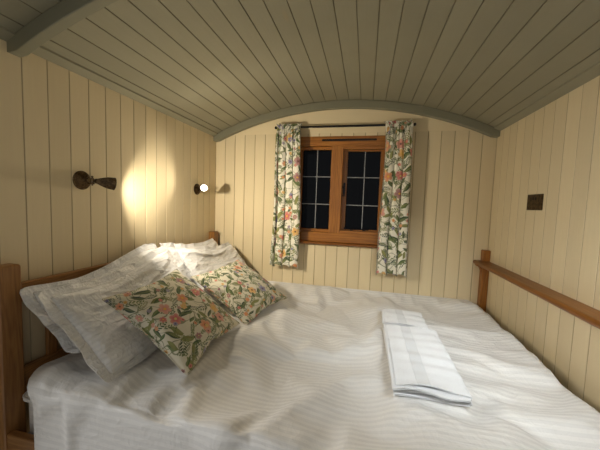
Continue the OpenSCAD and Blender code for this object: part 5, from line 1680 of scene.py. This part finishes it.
# One path that runs to and fro in layers joined by round folds, swept along the hut. The layers part and lie
# askew at their ends, and the top ones hump there.
def foldedTowel(name, seed):
    low, high = corners(name)
    given = towels[name]
    count, wide, long = given["layers"], high[0] - low[0], high[1] - low[1]
    pitch = (high[2] - low[2] - given["thick"] - 0.003) / (count - 1)
    path, r = [], pitch / 2
    for k in range(count):                                   # from the top layer down: across, level, layer
        a = np.linspace(r, wide - r, 26)
        a = a if k % 2 == 0 else a[::-1]
        z = (count - 1 - k) * pitch
        path.append(np.stack([a, np.full(26, z), np.full(26, float(k))], 1))
        if k < count - 1:
            bend = np.linspace(0, math.pi, 7)[1:-1]
            side = wide - r if k % 2 == 0 else r
            sign = 1 if k % 2 == 0 else -1
            path.append(np.stack([side + sign * r * np.sin(bend), z - r + r * np.cos(bend),
                                  k + bend / math.pi], 1))
    path = np.vstack(path)
    s = runLength(path[:, :2])
    y = 1 - np.cos(np.linspace(0, math.pi / 2, 72))          # closer together towards the near end
    across, level, layer = (path[:, k][:, None] for k in range(3))
    share, upper = across / wide, level / (pitch * (count - 1))
    near = np.exp(-y[None] * long / 0.045)
    shift = 0.0050 * waves(layer * 3.1, y[None] * 2, 0.4, 1.3, seed)        # each layer lies a little askew
    px = low[0] + across + shift + 0.004 * (share - 0.5) * near
    stagger = (0.0095 * waves(layer * 2.7, 0 * share, 0.0, 1.6, seed + 1)
               + 0.0030 * waves(share * 9, layer * 2, 0.4, 1.0, seed + 5))
    py = low[1] + 0.008 + (long - 0.014) * y[None] + stagger * (1 - 2 * y[None])
    swell = 0.0013 * waves(across * 16, y[None] * long * 60, 1.3, 1.0, seed + 2) * (0.25 + upper)
    hump = (0.0052 * near * upper * np.exp(-((share - 0.30) / 0.20) ** 2)
            - 0.0030 * near * upper * np.exp(-((share - 0.78) / 0.2) ** 2))
    gaps = 0.0024 * near * np.sin(layer * 2.2 + share * 7 + seed)           # between the layers' ends
    pz = low[2] + given["thick"] / 2 + 0.0006 + level + swell + hump + gaps
    pz -= 0.22 * level * np.abs(2 * np.clip(share, 0, 1) - 1) ** 8          # the folded sides sag
    grid = np.stack([px, py, np.maximum(pz, low[2] + given["thick"] / 2)], -1)
    rest = np.stack([np.broadcast_to(s[:, None], px.shape), np.broadcast_to(long * y[None], px.shape)], -1)
    loops = towelling(name + " towelling", (0.87, 0.88, 0.88), *given["band"])
    made = piece(name + "_folded", [sheetPart(grid, rest, given["thick"])], loops, "towelling", name,
                 crease=3.2)
    rounded(made)


foldedTowel("bath_towel", 17)
foldedTowel("hand_towel", 29)
print("towels folded")

# Camera, light, backdrop
camera = {"place": (0.213, -1.5305, 1.663), "right": (0.9744, 0.2221, 0.0345), "up": (-0.0495, 0.0625, 0.9968),
          "ahead": (-0.2193, 0.9730, -0.0718), "lens": 17.33}
studioWhite = (0.93, 0.935, 0.94)


# The photo's camera, as solved from the room's edges
def setCamera():
    data = bpy.data.cameras.new("photo camera")
    data.lens, data.sensor_width, data.clip_start = camera["lens"], 36.0, 0.02
    made = bpy.data.objects.new("photo camera", data)
    scene.collection.objects.link(made)
    turn = Matrix([camera["right"], camera["up"], [-a for a in camera["ahead"]]]).transposed()
    made.matrix_world = Matrix.Translation(camera["place"]) @ turn.to_4x4()
    scene.camera = made


# Rectangular light that the camera doesn't see
def areaLight(name, place, target, size, power, colour=(1, 1, 1), mirrored=True, spread=180):
    data = bpy.data.lights.new(name, "AREA")
    data.shape, data.size, data.size_y, data.energy, data.color = "RECTANGLE", size[0], size[1], power, colour
    data.spread = math.radians(spread)
    made = bpy.data.objects.new(name, data)
    made.location = place
    made.rotation_euler = (Vector(target) - Vector(place)).to_track_quat("-Z", "Y").to_euler()
    made.visible_camera, made.visible_glossy = False, mirrored
    scene.collection.objects.link(made)


# A pale floor and a backdrop that lights the room a little but looks bright to the camera
def setStage():
    mesh = bpy.data.meshes.new("studio floor")
    mesh.from_pydata([(-9, -9, 0), (9, -9, 0), (9, 9, 0), (-9, 9, 0)], [], [(0, 1, 2, 3)])
    ground = bpy.data.objects.new("studio_floor", mesh)
    scene.collection.objects.link(ground)
    material, tree, sockets = newMaterial("studio floor", Roughness=0.9)
    feed(sockets["Base Color"], over(noise(objectPlace(tree), 1.2, 4), (0.72, 0.71, 0.69), (0.76, 0.75, 0.73)))
    sockets["Emission Color"].default_value = (*studioWhite, 1)
    feed(sockets["Emission Strength"], times(put(tree, "LightPath").outputs["Is Camera Ray"], 0.30))
    mesh.materials.append(material)
    world = bpy.data.worlds.new("studio")
    scene.world = world
    world.use_nodes = True
    path = put(world.node_tree, "LightPath").outputs
    sharp = sums("MAXIMUM", path["Is Glossy Ray"], path["Is Transmission Ray"])
    seen = sums("MAXIMUM", path["Is Camera Ray"], sharp)
    back = world.node_tree.nodes["Background"]
    feed(back.inputs["Strength"], timesPlus(seen, 0.87, 0.08))
    back.inputs["Color"].default_value = (*studioWhite, 1)


scene.view_settings.view_transform = "Standard"
setCamera()
setStage()
areaLight("open end", (0.5, openY - 1.6, 2.1), (0, endY, 1.1), (2.2, 1.4), 4.0, (1.0, 0.90, 0.72),
          mirrored=False)
areaLight("foot end", (0.86, openY - 0.10, 2.02), (0.58, 0.02, 0.95), (0.4, 0.3), 2.7, (0.90, 0.96, 1.0),
          mirrored=False, spread=66)
for side, strength in (("near", 8.0), ("far", 5.0)):        # the lit bulbs' own light
    along, height, turn, tilt = lamp[side]
    aim = np.array([math.cos(math.radians(turn)), math.sin(math.radians(turn)), math.sin(math.radians(tilt))])
    face = spot(-halfX + lamp["out"], along, height) + aim * (lamp["start"] + lamp["length"] + 0.012)
    areaLight(side + " bulb", face, face + aim, (0.045, 0.045), strength, (1.0, 0.90, 0.74), mirrored=False,
              spread=130)
areaLight("left studio", (-4.2, -2.6, 3.6), (0, 0, 1.2), (2.4, 2.4), 160)
areaLight("right studio", (4.2, 1.8, 3.4), (0, 0, 1.2), (2.4, 2.4), 150)
print("stage set")
